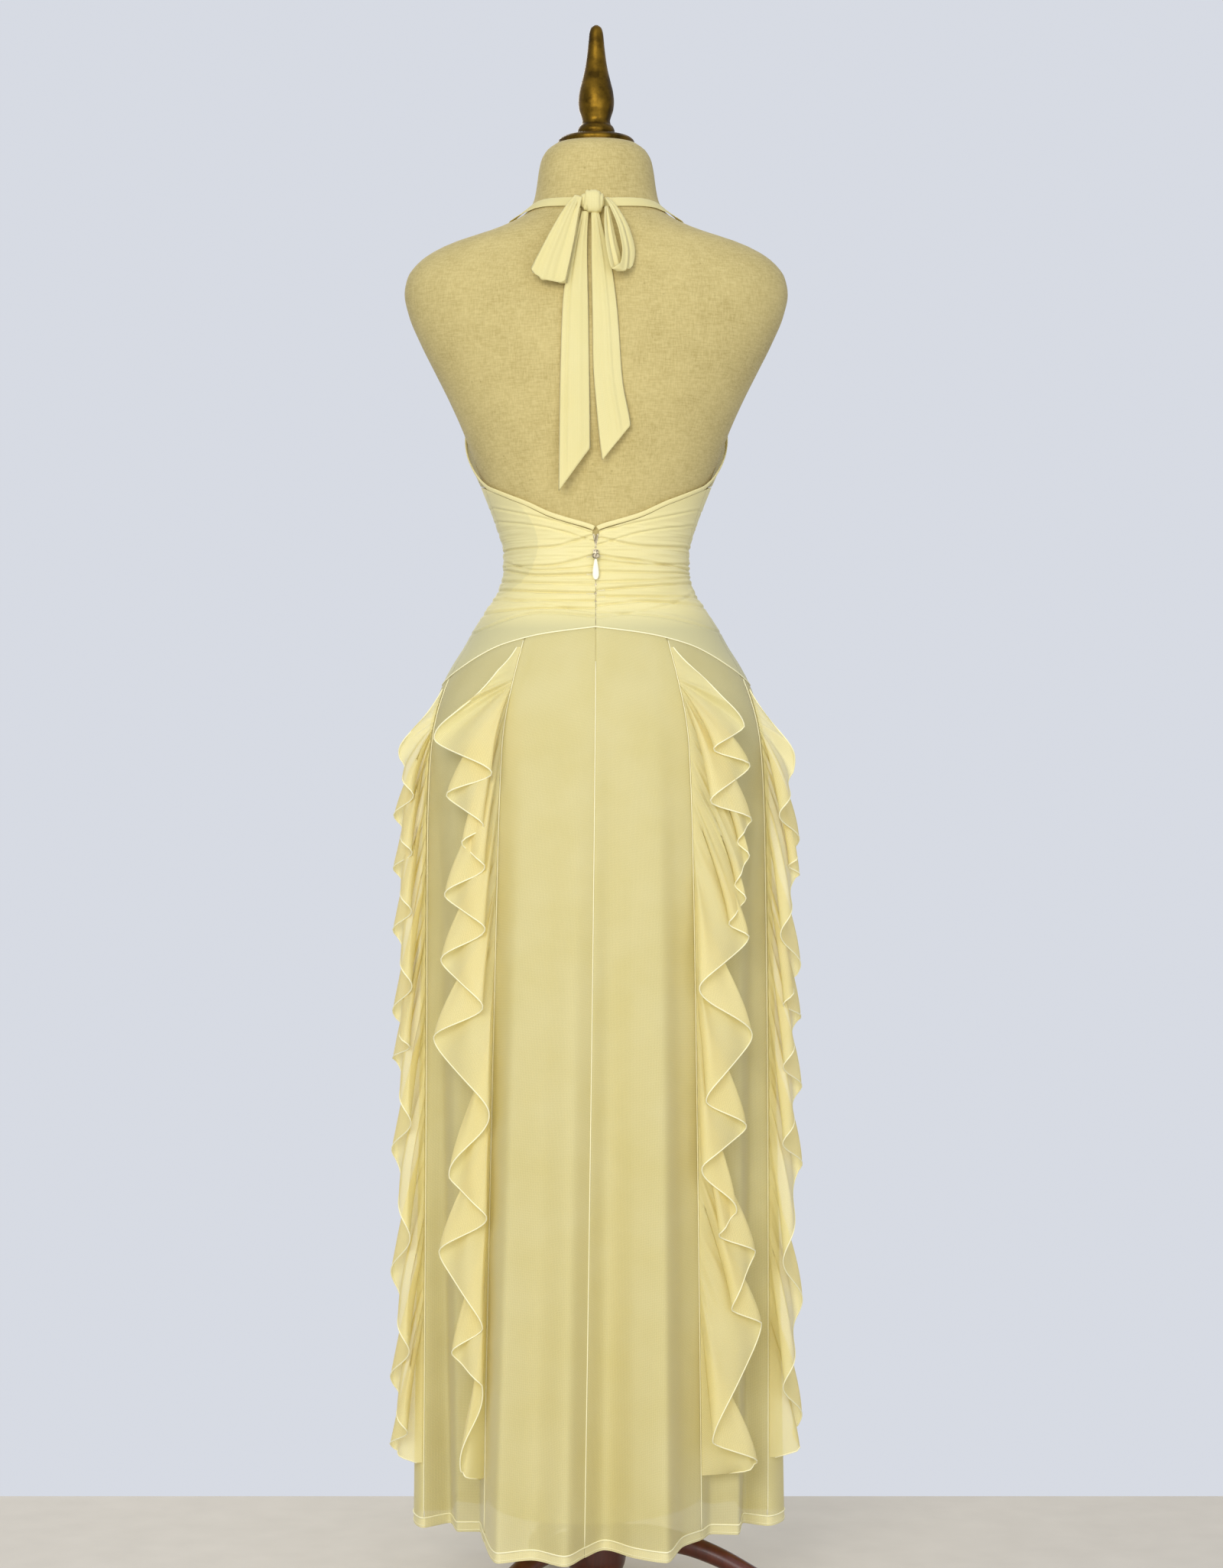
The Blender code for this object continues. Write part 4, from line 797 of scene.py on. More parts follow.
def add_mesh(name, points, faces, material, uvs=None, smooth=True):
    mesh = bpy.data.meshes.new(name)
    mesh.from_pydata(points, [], faces)
    if uvs:
        layer = mesh.uv_layers.new(name="UVMap")
        for loop in mesh.loops:
            layer.data[loop.index].uv = uvs[loop.vertex_index]
    mesh.materials.append(material)
    if smooth:
        mesh.shade_smooth()
    piece = bpy.data.objects.new(name, mesh)
    bpy.context.scene.collection.objects.link(piece)
    return piece


def grid_faces(rows, columns, ring):
    """Faces between rows of points, with a ring's last column joined to its first."""
    return [(i * columns + j, i * columns + (j + 1) % columns,
             (i + 1) * columns + (j + 1) % columns, (i + 1) * columns + j)
            for i in range(rows - 1) for j in range(columns if ring else columns - 1)]


def add_grid(name, grid, material, ring=False, caps=False):
    """Surface through rows of points, with a UV map in metres along the cloth."""
    rows, columns = len(grid), len(grid[0])
    points = [p for row in grid for p in row]
    faces = grid_faces(rows, columns, ring)
    if caps:
        faces += [tuple(range(columns))[::-1], tuple(range((rows - 1) * columns, rows * columns))]
    middle = grid[rows // 2]
    along = [0.0]
    for a, b in zip(middle, middle[1:]):
        along.append(along[-1] + (b - a).length)
    up = [0.0]
    for low, high in zip(grid, grid[1:]):
        up.append(up[-1] + (high[columns // 2] - low[columns // 2]).length)
    uvs = [(along[j], up[i]) for i in range(rows) for j in range(columns)]
    return add_mesh(name, points, faces, material, uvs)


def add_tube(name, line, radius, material, sides=6, flat=1.0, normals=None, ring=False):
    """Round or flattened cord along a line of points. flat is its thickness as a share of its width."""
    rings = []
    last = len(line) - 1
    side = None
    for i, point in enumerate(line):
        if ring:
            ahead = line[(i + 1) % len(line)] - line[i - 1]
        else:
            ahead = line[min(i + 1, last)] - line[max(i - 1, 0)]
        ahead.normalize()
        if normals:
            side = ahead.cross(normals[i]).normalized()
        elif side is None:
            side = ahead.cross(Vector((0, 0, 1)) if abs(ahead.z) < 0.9 else Vector((0, 1, 0))).normalized()
        else:
            side = (side - ahead * side.dot(ahead)).normalized()
        up = side.cross(ahead)
        rings.append([point + side * radius * math.cos(t) + up * radius * flat * math.sin(t)
                      for t in circle(sides)])
    if ring:
        rings.append(rings[0])
    return add_grid(name, rings, material, ring=True, caps=not ring)


def add_turning(name, rows, material, segments=64, steps=6):
    """Turned piece: (height, radius) rows joined by a smooth curve and closed at both ends."""
    levels = [level for low, high in zip(rows, rows[1:])
              for level in spread(low.height, high.height, steps)[:-1]] + [rows[-1].height]
    grid = []
    for level in levels:
        radius = read_rows(rows, level, "radius") * MM
        grid.append([Vector((radius * math.cos(t), radius * math.sin(t), level * MM))
                     for t in circle(segments)])
    return add_grid(name, grid, material, ring=True, caps=True)


def dress_up(piece, slot, *nodes, body=BODY):
    """Puts a piece on the body that it rides on and hides the solids that it stands for. Its slot is not
    used.
    """
    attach(piece, body)
    if nodes:
        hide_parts(*nodes)
    return piece


# Skirt and lining
HEM_TURN = 11 * MM               # hem turned up inside
HEM_ROWS = (91, 88, 84, 80.9, 80.15)     # heights of the turned-up rows inside
HEM_FRONT_ROWS = (80, 80.4, 81.2, 84, 88)
HEM_INSIDE = 0.7 * MM            # the turned-up layer behind the front one
STITCH_LEVELS = (82.5, 90.3)     # the hem's lower stitching and the ridge along its top
STITCH_RADII = (0.3 * MM, 0.8 * MM)
STITCH_RAISED = 0.25 * MM
SEAM_DIP = 0.9 * MM              # the cloth dips this far into a seam
SEAM_WIDTH = 1.6 * MM
SEAM_RADIUS = 0.55 * MM          # ridge of the allowance that shows through along each seam
SEAM_RAISED = -0.2 * MM
SEAM_BELOW_YOKE = 3 * MM         # where that ridge ends
YOKE_SEAM_RADIUS = 0.75 * MM     # the yoke's allowance is thicker, three layers
YOKE_SEAM_RAISED = -0.05 * MM
SKIRT_LENGTH = 0.9               # metres from the yoke seam to the hem, for the dip along it
SKIRT_COLUMNS = 0.9              # to a degree
LINING_BELOW_YOKE = 2.3 * MM
NEAR_SEAM = [0, 0.004, 0.01, 0.018]      # columns closer together beside a panel's seams


def make_skirt(material, shaded_side, thread):
    for panel in SKIRT_PANELS:
        surface = panel_surface(panel, lambda a: HEM_HEIGHT, lambda a: yoke_height(a) - SEAM_GAP / 2)
        width = (surface(1, 0.5) - surface(0, 0.5)).length

        def cloth(u, v, surface=surface, panel=panel, width=width, inside=0.0):
            point = surface(u, v)
            angle = mix(panel.start, panel.end, u)
            side_seam = math.exp(-min(u, 1 - u) * width / SEAM_WIDTH)
            top_seam = math.exp(-(1 - v) * SKIRT_LENGTH / SEAM_WIDTH)
            dip = SEAM_DIP * side_seam + SEAM_DIP * top_seam
            return point + outwards(angle) * (ripple(angle, point.z) - dip - inside)

        columns = spread(0.03, 0.97, round((panel.end - panel.start) * SKIRT_COLUMNS))
        columns = NEAR_SEAM + columns + [1 - place for place in reversed(NEAR_SEAM)]
        top = yoke_height((panel.start + panel.end) / 2)
        turned, shares = [[(h * MM - HEM_HEIGHT) / (top - HEM_HEIGHT) for h in rows]
                          for rows in (HEM_ROWS, HEM_FRONT_ROWS)]
        shares += spread(0.012, 0.985, 110) + [0.99, 0.994, 0.997, 1]
        grid = [[cloth(u, v, inside=HEM_INSIDE) for u in columns] for v in turned]
        grid += [[cloth(u, v) for u in columns] for v in shares]
        # The side back panels take the copy of the mesh whose darker colour is painted shade
        piece = add_grid(panel.name + "_cloth", grid, shaded_side if "side_back" in panel.name else material)
        dress_up(piece, "butter_mesh", panel.name)
    yoke = [skirt_point(a, yoke_height(a)) + outwards(a) * YOKE_SEAM_RAISED
            for a in spread(0, 360, 480)[:-1]]
    dress_up(add_tube("yoke_seam", yoke, YOKE_SEAM_RADIUS, thread, ring=True), "ruffle_mesh")
    for panel in SKIRT_PANELS:
        top = ZIP_BOTTOM if panel.start == 90 else yoke_height(panel.start) - SEAM_BELOW_YOKE
        seam = [skirt_point(panel.start, h) + outwards(panel.start) * SEAM_RAISED
                for h in spread(HEM_HEIGHT + HEM_TURN, top, 90)]
        dress_up(add_tube(panel.name + "_seam", seam, SEAM_RADIUS, thread, sides=5), "ruffle_mesh")
    for number, (level, radius) in enumerate(zip(STITCH_LEVELS, STITCH_RADII), start=1):
        line = [skirt_point(a, level * MM) + outwards(a) * STITCH_RAISED for a in spread(0, 360, 720)[:-1]]
        dress_up(add_tube(f"hem_stitching_{number}", line, radius, thread, ring=True), "ruffle_mesh")


def lining_point(angle, v):
    scoop = LINING_SCOOP * (1 - math.cos(math.radians(angle - LINING_LOWEST_AT))) / 2
    height = mix(HEM_HEIGHT + LINING_SHORTER + scoop, yoke_height(angle) - LINING_BELOW_YOKE, v)
    close = on_form(angle, height, ease(height) - LINING_INSIDE)
    if height > LINING_LEAVES:
        return close
    hanging = plan_point(LINING_SECTIONS, angle, height)
    return close.lerp(hanging, smooth_step((LINING_LEAVES - height) / LINING_BLEND))


def make_lining(material):
    grid = [[lining_point(a, v) for a in spread(0, 360, 120)[:-1]] for v in spread(0, 1, 60)]
    piece = add_grid("lining_cloth", grid, material, ring=True)
    dress_up(piece, "lining_knit", "lining")


# Midriff
# Each crease of the ruching: its side, its heights at the zip, 35 and 75 degrees round, and its depth
Crease = namedtuple("Crease", "side zip middle far depth")
CREASES = rows_of(Crease, (
    (1, 1103, 1092, 1092, 1.6), (1, 1097, 1112, 1122, 0.8), (1, 1083, 1073, 1075, 1.5),
    (1, 1072, 1068, 1080, 1.0), (1, 1064, 1063, 1072, 1.6), (1, 1053, 1055, 1060, 1.3),
    (1, 1044, 1046, 1051, 1.8), (1, 1036, 1037, 1040, 1.2), (1, 1028, 1029, 1026, 1.5),
    (-1, 1101, 1093, 1095, 1.5), (-1, 1093, 1108, 1118, 0.8), (-1, 1083, 1077, 1072, 1.6),
    (-1, 1078, 1074, 1078, 1.3), (-1, 1066, 1066, 1068, 1.3), (-1, 1056, 1058, 1064, 0.9),
    (-1, 1047, 1052, 1058, 1.6), (-1, 1041, 1041, 1044, 1.3), (-1, 1031, 1036, 1034, 1.4),
    (1, 1105, 1121, 1136, 0.7), (1, 1020, 1024, 1006, 1.0), (1, 1024, 1033, 1044, 0.7),
    (-1, 1106, 1119, 1134, 0.7), (-1, 1018, 1028, 1048, 0.7), (-1, 1024, 1021, 1008, 0.8),
))
CreaseRow = namedtuple("CreaseRow", "turn height")
CREASE_LINES = [(c.side, rows_of(CreaseRow, ((0, c.zip), (35, c.middle), (75, c.far))), c.depth)
                for c in CREASES]
CREASE_WIDTH = 1.05              # millimetres from a crease's bottom to its shoulder
CREASE_REACH = 5                 # of those widths, past which it doesn't show
CREASE_GROOVE = 1.1              # share of its depth that it sinks
CREASE_RIDGE = 0.6               # and that the cloth above it rises
CREASE_LIP = 0.25                # and below it
CREASE_STRENGTH = 1.2
CREASE_FADE = (50, 110)          # degrees from the back between which the creases grow weaker
CREASE_FRONT_SHARE = 0.25        # of their strength that they keep
LUMP_BOTTOM, LUMP_TOP = 1018, 1128       # the cloth is uneven between these heights
ZIP_EDGE_GAP = 0.08 * MM         # of each panel's very edge from the middle of the zip
MIDRIFF_LENGTH = 0.12            # metres from the yoke seam to its top, for the dip along it
MIDRIFF_COLUMN = 1.1             # degrees between its columns
MIDRIFF_ROWS = {"midriff_back_left": 340, "midriff_back_right": 340, "midriff_front": 190}


def ruching(angle, height):
    """How far the gathers lift or sink the midriff, in metres."""
    turn = turn_from_back(angle)
    side = 1 if math.cos(math.radians(angle)) > 0 else -1
    level = height / MM
    fade = 1 - smooth_step((turn - CREASE_FADE[0]) / (CREASE_FADE[1] - CREASE_FADE[0]))
    total = 0.0
    for way, rows, depth in CREASE_LINES:
        if way != side:
            continue
        away = (level - read_rows(rows, turn, "height")) / CREASE_WIDTH
        if abs(away) < CREASE_REACH:
            total += depth * (CREASE_RIDGE * hump(away, 2.6, 1.7) - CREASE_GROOVE * hump(away, 0, 1)
                              + CREASE_LIP * hump(away, -2.6, 1.4))
    lumps = (noise.noise(Vector((turn / 22 * side, level / 5.0, 3.0))) * 0.9
             + noise.noise(Vector((turn / 34 * side, level / 2.1, 7.0))) * 0.8)
    window = smooth_step((level - LUMP_BOTTOM) / 16) * smooth_step((LUMP_TOP - level) / 20)
    return (total * mix(CREASE_FRONT_SHARE, 1.0, fade) * CREASE_STRENGTH + lumps * window) * MM


def make_midriff(material):
    cuts = ((0.15, 0.24, 0.027), (0.15, 0.24, 0.027), (0.38, 0.24, 0.085))
    for panel, (width, length, area) in zip(MIDRIFF_PANELS, cuts):
        flat = panel_surface(panel, lambda a: yoke_height(a) + SEAM_GAP, midriff_top)

        def cloth(u, v, flat=flat, panel=panel):
            point = flat(u, v)
            angle = mix(panel.start, panel.end, u)
            if 90 in (panel.start, panel.end):
                zip_share = 1 - u if panel.start == 90 else u
                way = -1 if panel.start == 90 else 1
                point.x += way * (zip_mouth(point.z) * zip_share ** 5
                                  + ZIP_EDGE_GAP * smooth_step((zip_share - 0.97) / 0.03))
            normal = surface_normal(dress_point, angle, point.z)
            dip = SEAM_DIP * math.exp(-v * MIDRIFF_LENGTH / SEAM_WIDTH)
            return point + normal * (ruching(angle, point.z) - dip)

        columns = spread(0, 1, round((panel.end - panel.start) / MIDRIFF_COLUMN))
        shares = [0, 0.004, 0.01] + spread(0.02, 1, MIDRIFF_ROWS[panel.name])
        grid = [[cloth(u, v) for u in columns] for v in shares]
        piece = add_grid(panel.name + "_cloth", grid, material)
        dress_up(piece, "butter_mesh", panel.name)


# Cups, bindings and frills
BINDING_HALF = 2.45 * MM
BINDING_FLATNESS = 0.4
BINDING_INSET = 2.8 * MM         # its middle inside the cloth's edge
BINDING_SMOOTHING = 4            # passes that round its corner by the side
CUP_STEP = 0.01                  # share of a cup's length and width that its slopes are read over
FRILL_EDGE_RADIUS = 0.6 * MM


def make_cups(material):
    for side, name in both_sides("bodice_front"):
        cup = cup_surface(side)
        grid = [[cup(u, v) for u in spread(0, 1, 36)] for v in spread(0, 1, 72)]
        piece = add_grid(name + "_cloth", grid, material)
        dress_up(piece, "butter_mesh", name)


def make_bindings(material):
    for side, name in both_sides("binding"):
        line, normals = [], []
        for turn in spread(BINDING_START, BINDING_CORNER, 60):
            angle = side_angle(side, -turn)
            height = midriff_top(angle)
            point = dress_point(angle, height)
            closeness = max(0.0, (turn - ZIP_SIDE_TURN) / (90 - ZIP_SIDE_TURN)) ** 5
            point.x += side * zip_mouth(height) * closeness
            line.append(point)
            normals.append(surface_normal(dress_point, angle, height))
        cup = cup_surface(side)
        for v in spread(0, 1, 60)[3:]:
            line.append(cup(0, v))
            normals.append(surface_normal(cup, 0, v, -CUP_STEP * side, CUP_STEP))
        raised = []
        for i, (point, normal) in enumerate(zip(line, normals)):
            ahead = line[min(i + 1, len(line) - 1)] - line[max(i - 1, 0)]
            raised.append(point + ahead.cross(normal).normalized() * side * BINDING_INSET)
        for _ in range(BINDING_SMOOTHING):
            inner = [(a + b * 2 + c) / 4 for a, b, c in zip(raised, raised[1:], raised[2:])]
            raised = [raised[0]] + inner + [raised[-1]]
        piece = add_tube(name + "_cloth", raised, BINDING_HALF, material, sides=12, flat=BINDING_FLATNESS,
                         normals=normals)
        dress_up(piece, "bow_mesh", name)


def make_neck_frills(material, edge_material):
    for side, name in both_sides("neck_frill"):
        cup = cup_surface(side)

        def frill(s, v, cup=cup, side=side):
            along = mix(*FRILL_SPAN, s)
            normal = surface_normal(cup, 1, along, -CUP_STEP * side, CUP_STEP)
            inward = (cup(1, along) - cup(0.9, along)).normalized()
            lean = FRILL_SWING * math.sin(2 * math.pi * FRILL_WAVES * s) * v ** 0.7
            direction = (normal * (0.9 + 0.3 * lean) + inward * (0.35 - 0.7 * lean)).normalized()
            height = FRILL_HEIGHT * mix(0.3, 1.0, smooth_step(s / 0.1))
            return cup(1, along) - inward * FRILL_INSET + normal * RUFFLE_LIFT + direction * height * v

        grid = [[frill(s, v) for s in spread(0, 1, 180)] for v in spread(0, 1, 6)]
        piece = add_grid(name + "_cloth", grid, material)
        dress_up(piece, "ruffle_mesh", name)
        edge = add_tube(name + "_edge", grid[-1], FRILL_EDGE_RADIUS, edge_material, sides=5)
        dress_up(edge, "ruffle_mesh")


# Ruffles
FLUTE_ROUND = 5.0                # millimetres by which each flute's turn is rounded
FLUTE_CREASE = 2.4               # height of the creases between seam and edge
GATHER_CREASE = 1.1              # and of the finer ones beside the seam
GATHER_PITCH = 21                # millimetres of free edge to each of these
GATHER_PLACE = (0.2, 0.16)       # middle and width of their strip, as shares of the ruffle's width
TOP_FLUTE_PULL = 8               # the first flute falls straighter than its turning points say
TOP_FLUTE_PLACE = (0.7, 0.2)     # most at this share of its length, and over this one
EDGE_RADIUS = 0.7 * MM           # merrowed edge
RUFFLE_ROW = 3.5                 # millimetres of free edge between its rows of points


def flute_phase(ruffle, edge):
    """Share of the way between two turning points of the free edge, at this height."""
    heights = [row.height for row in ruffle.edge]
    i = min(max(bisect_right(heights, edge) - 1, 0), len(heights) - 2)
    return (edge - heights[i]) / (heights[i + 1] - heights[i])


def flute_point(ruffle, edge, v):
    """Ruffle surface with rounded flutes, on the skirt's small folds."""
    point = ruffle_point(ruffle, edge, v)
    normal = level_normal(ruffle.angle, point.z)
    start = smooth_step((ruffle.top - edge) / RUFFLE_REACH_TAPER)
    end = smooth_step((edge - ruffle.edge[0].height) / RUFFLE_END_TAPER)
    phase = flute_phase(ruffle, edge)
    turn = FLUTE_ROUND * math.sin(2 * math.pi * phase) * v
    crease = FLUTE_CREASE * math.cos(4 * math.pi * phase + ruffle.angle) * 4 * v * (1 - v)
    crease += GATHER_CREASE * math.cos(edge / GATHER_PITCH * 2 * math.pi) * hump(v, *GATHER_PLACE)
    tip = max(ruffle.edge[-3:], key=lambda row: row.sweep).height
    first = (ruffle.top - edge) / (ruffle.top - tip)
    pull = TOP_FLUTE_PULL * hump(first, *TOP_FLUTE_PLACE) * v
    along = Vector((0, 0, 1)).cross(normal) * -ruffle.lean
    return (point + normal * (turn + crease) * start * end * MM + along * pull * MM
            + outwards(ruffle.angle) * ripple(ruffle.angle, point.z))


def make_ruffles(material, edge_material):
    for ruffle in RUFFLES:
        heights = [row.height for row in reversed(ruffle.edge)]
        places = [heights[0]]
        for upper, lower in zip(heights, heights[1:]):
            places += spread(upper, lower, max(6, round((upper - lower) / RUFFLE_ROW)))[1:]
        grid = [[flute_point(ruffle, edge, v) for edge in places] for v in spread(0, 1, 20)]
        piece = add_grid(ruffle.name + "_cloth", grid, material)
        dress_up(piece, "ruffle_mesh", ruffle.name)
        edge = add_tube(ruffle.name + "_edge", grid[-1], EDGE_RADIUS, edge_material)
        dress_up(edge, "ruffle_mesh")


# Straps and bow
FOLD_CORNER_RISE = 7 * MM
CREASED_DEPTH = 1.6 * MM         # of the creases that run along the loops and tails
SLEEVE_THICKNESS = 1.1 * MM
KNOT_TALLER = 1.16               # the knot's folds reach the tails that come out below it
KNOT_TURNS, KNOT_LEVELS = 40, 24
KNOT_SQUARENESS = 0.7            # 1 is an egg, less is squarer
KNOT_CELL = 1.6 * MM             # size of one of its faces, for its knit

# Each loop and tail with the direction across it, how it bows, the slant of its end, its cut length,
# and its creases: the place of each across the band, its drift along it, its width and its depth
BowPart = namedtuple("BowPart", "name rows across bow slant length creases")
BOW_PARTS = (
    BowPart("bow_loop_left", BOW_LOOP_LEFT, (1, 0.05, 0.28), 0.0, 0.0, 0.2,
            ((0.3, 0.05, 0.08, -1), (0.62, 0.1, 0.07, 0.9), (0.85, -0.05, 0.07, -0.7))),
    BowPart("bow_loop_right", BOW_LOOP_RIGHT, (0.62, 0.75, -0.2), 0.0, 0.0, 0.12,
            ((0.35, 0.1, 0.09, -0.9), (0.7, -0.1, 0.08, 0.8))),
    BowPart("bow_tail_left", BOW_TAIL_LEFT, (1, 0, 0), 1.5 * MM, -44 * MM, 0.29,
            ((0.72, 0.08, 0.05, -1.0), (0.35, 0.0, 0.1, 0.6))),
    BowPart("bow_tail_right", BOW_TAIL_RIGHT, (-1, 0, 0), 1.5 * MM, 36 * MM, 0.24,
            ((0.55, 0.1, 0.05, -1.0), (0.25, 0.05, 0.1, 0.7))),
)


def add_sleeve(name, surface, across, along, thickness, material):
    """Flattened tube of cloth over surface(u, s), closed along both edges and at both ends."""
    grid = []
    for s in along:
        ring = []
        for way, places in ((1, across), (-1, list(reversed(across))[1:-1])):
            for u in places:
                normal = surface_normal(surface, u, s, 0.02, 0.01)
                ring.append(surface(u, s) + normal * way * thickness / 2 * (1 - (2 * u - 1) ** 6) ** 0.5)
        grid.append(ring)
    return add_grid(name, grid, material, ring=True, caps=True)


def make_straps(material):
    for side, name in both_sides("strap"):
        centres, normals = strap_line(side)
        piece = add_tube(name + "_cloth", centres, STRAP_WIDTH / 2, material, sides=16,
                         flat=STRAP_THICKNESS / STRAP_WIDTH, normals=normals)
        dress_up(piece, "bow_mesh", name)


def creased(surface, creases):
    """The same band with soft creases running along it."""
    def folded(u, s):
        point = surface(u, s)
        normal = surface_normal(surface, min(max(u, 0.02), 0.98), min(max(s, 0.01), 0.99), 0.02, 0.01)
        total = sum(share * hump(u, place + drift * s, width) for place, drift, width, share in creases)
        return point + normal * total * CREASED_DEPTH * smooth_step(s / 0.1) * smooth_step((1.02 - s) / 0.1)
    return folded


def rounded_fold(surface):
    """The same loop with the corners of its fold drawn up."""
    def rounded(u, s):
        corner = (2 * u - 1) ** 4 * hump(s, 0.5, 0.12)
        return surface(u, s) + Vector((0, 0, FOLD_CORNER_RISE * corner))
    return rounded


def knot_point(polar, around):
    """Point of the knot: a squared egg with the tie's strip round its middle and folds across it."""
    ball = (math.sin(polar) * math.cos(around), math.sin(polar) * math.sin(around), math.cos(polar))
    place = Vector([math.copysign(abs(c) ** KNOT_SQUARENESS, c) * h for c, h in zip(ball, KNOT_HALF)])
    strip = 0.2 * math.exp(-((ball[0] + 0.05 - 0.12 * ball[2]) / 0.42) ** 8)
    fold = 0.06 * math.sin(ball[0] * 15 + 2.5 * ball[2]) + 0.03 * math.sin(ball[0] * 31 - ball[2])
    place.z *= KNOT_TALLER
    return KNOT_CENTRE + place * (0.9 + (strip + fold) * math.sin(polar) ** 0.5)


def make_bow(material):
    points = [knot_point(math.pi * i / KNOT_LEVELS, around)
              for i in range(KNOT_LEVELS + 1) for around in circle(KNOT_TURNS)]
    uvs = [((i % KNOT_TURNS) * KNOT_CELL, (i // KNOT_TURNS) * KNOT_CELL) for i in range(len(points))]
    faces = grid_faces(KNOT_LEVELS + 1, KNOT_TURNS, ring=True)
    knot = dress_up(add_mesh("bow_knot_cloth", points, faces, material, uvs), "bow_mesh", "bow_knot")
    for part in BOW_PARTS:
        surface = band_surface(part.rows, part.across, part.bow, part.slant)
        if "loop" in part.name:
            surface = rounded_fold(surface)
        piece = add_sleeve(part.name + "_cloth", creased(surface, part.creases), spread(0, 1, 24),
                           spread(0, 1, 90), SLEEVE_THICKNESS, material)
        dress_up(piece, "bow_mesh", part.name)


# Form and stand
FORM_ROW = 4                     # millimetres between the rows of the form's cover
LEG_SIDES = 24


def make_form(linen, gold, wood):
    rows = []
    for low, high in zip(FORM_SECTIONS, FORM_SECTIONS[1:]):
        rows += spread(low.height, high.height, max(1, round((high.height - low.height) / FORM_ROW)))[:-1]
    rows.append(FORM_SECTIONS[-1].height)
    grid = [[form_point(a, h * MM) for a in spread(0, 360, 144)[:-1]] for h in rows]
    dress_up(add_grid("form_cover", grid, linen, ring=True, caps=True), "form_linen", "form_body")
    dress_up(add_turning("neck_cap_turned", CAP_PROFILE, gold), "gold_paint", "neck_cap")
    dress_up(add_turning("finial_turned", FINIAL_PROFILE, gold, steps=8), "gold_paint", "finial")
    dress_up(add_turning("hub_turned", HUB_PROFILE, wood), "dark_wood", "stand_hub")
    pole = rows_of(TurnedRow, (((HUB_TOP + FIT_GAP) / MM, POLE_RADIUS / MM),
                               ((FORM_BOTTOM - FIT_GAP) / MM, POLE_RADIUS / MM)))
    dress_up(add_turning("pole_turned", pole, wood, segments=40, steps=20), "dark_wood", "stand_pole")
    for number, angle in enumerate(LEG_ANGLES, start=1):
        dress_up(make_leg(f"leg_{number}_shaped", angle, wood), "dark_wood", f"stand_leg_{number}")


def make_leg(name, angle, wood):
    """Curved leg: it leaves the hub level, and its foot stands upright on the floor."""
    outward, sideways = outwards(angle), outwards(angle + 90)
    places = spread(0, LEG_POINTS[-1].step, 48)
    centres = [Vector((read_rows(LEG_POINTS, s, "out") * MM, 0, read_rows(LEG_POINTS, s, "height") * MM))
               for s in places]
    runs = [high - low for low, high in zip([centres[0]] + centres, centres[1:] + [centres[-1]])]
    runs[0] = Vector((1, 0, 0))
    runs[-1] = Vector((0, 0, -1))
    rings = []
    for place, centre, run in zip(places, centres, runs):
        up = Vector((-run.z, 0, run.x)).normalized()
        half_wide = read_rows(LEG_POINTS, place, "wide") * MM / 2
        half_thick = read_rows(LEG_POINTS, place, "thick") * MM / 2
        ring = []
        for turn in circle(LEG_SIDES):
            point = centre + up * math.sin(turn) * half_thick
            ring.append(outward * point.x + sideways * math.cos(turn) * half_wide
                        + Vector((0, 0, max(point.z, 0.0))))
        rings.append(ring)
    return add_grid(name, rings, wood, ring=True, caps=True)


# Zip
TAPE_COLUMNS = (0.0, 0.05, 0.5, 1.0)
TAPE_SPREAD = 0.4                # share of the mouth's width by which they part
TOOTH_COUNT = 96                 # on each side
TOOTH_HALF = Vector((0.9, 0.55, 0.42)) * MM
TOOTH_ACROSS = 0.35 * MM         # its middle from the middle of the zip
TOOTH_RAISED = 1.1 * MM


def make_zip(tape, steel):
    for side, hand in ((1, "left"), (-1, "right")):
        rows = []
        for height in spread(ZIP_BOTTOM, ZIP_TOP - 2 * MM, 90):
            row = []
            for across in TAPE_COLUMNS:
                middle = TAPE_SPREAD * zip_mouth(height) + FIT_GAP + TAPE_WIDTH * across
                angle = 90 - side * math.degrees(middle / form_point(90, height).y)
                row.append(on_form(angle, height, TAPE_ROOM + TAPE_THICKNESS / 2))
            rows.append(row)
        piece = dress_up(add_grid(f"zip_tape_{hand}_cloth", rows, tape), "zip_tape", f"zip_tape_{hand}")
        teeth, faces = [], []
        for i in range(TOOTH_COUNT):
            share = (i + (0.25 if side > 0 else 0.75)) / TOOTH_COUNT
            height = mix(ZIP_BOTTOM + 2 * MM, ZIP_TOP - 3 * MM, share)
            middle = Vector((side * (TAPE_SPREAD * zip_mouth(height) + TOOTH_ACROSS), 0, height))
            middle.y = form_point(90, height).y + TAPE_ROOM + TOOTH_RAISED
            faces += [tuple(len(teeth) + k for k in quad) for quad in BOX_FACES]
            teeth += box_points(middle, TOOTH_HALF)
        dress_up(add_mesh(f"zip_teeth_{hand}", teeth, faces, steel, smooth=False), "zip_steel")


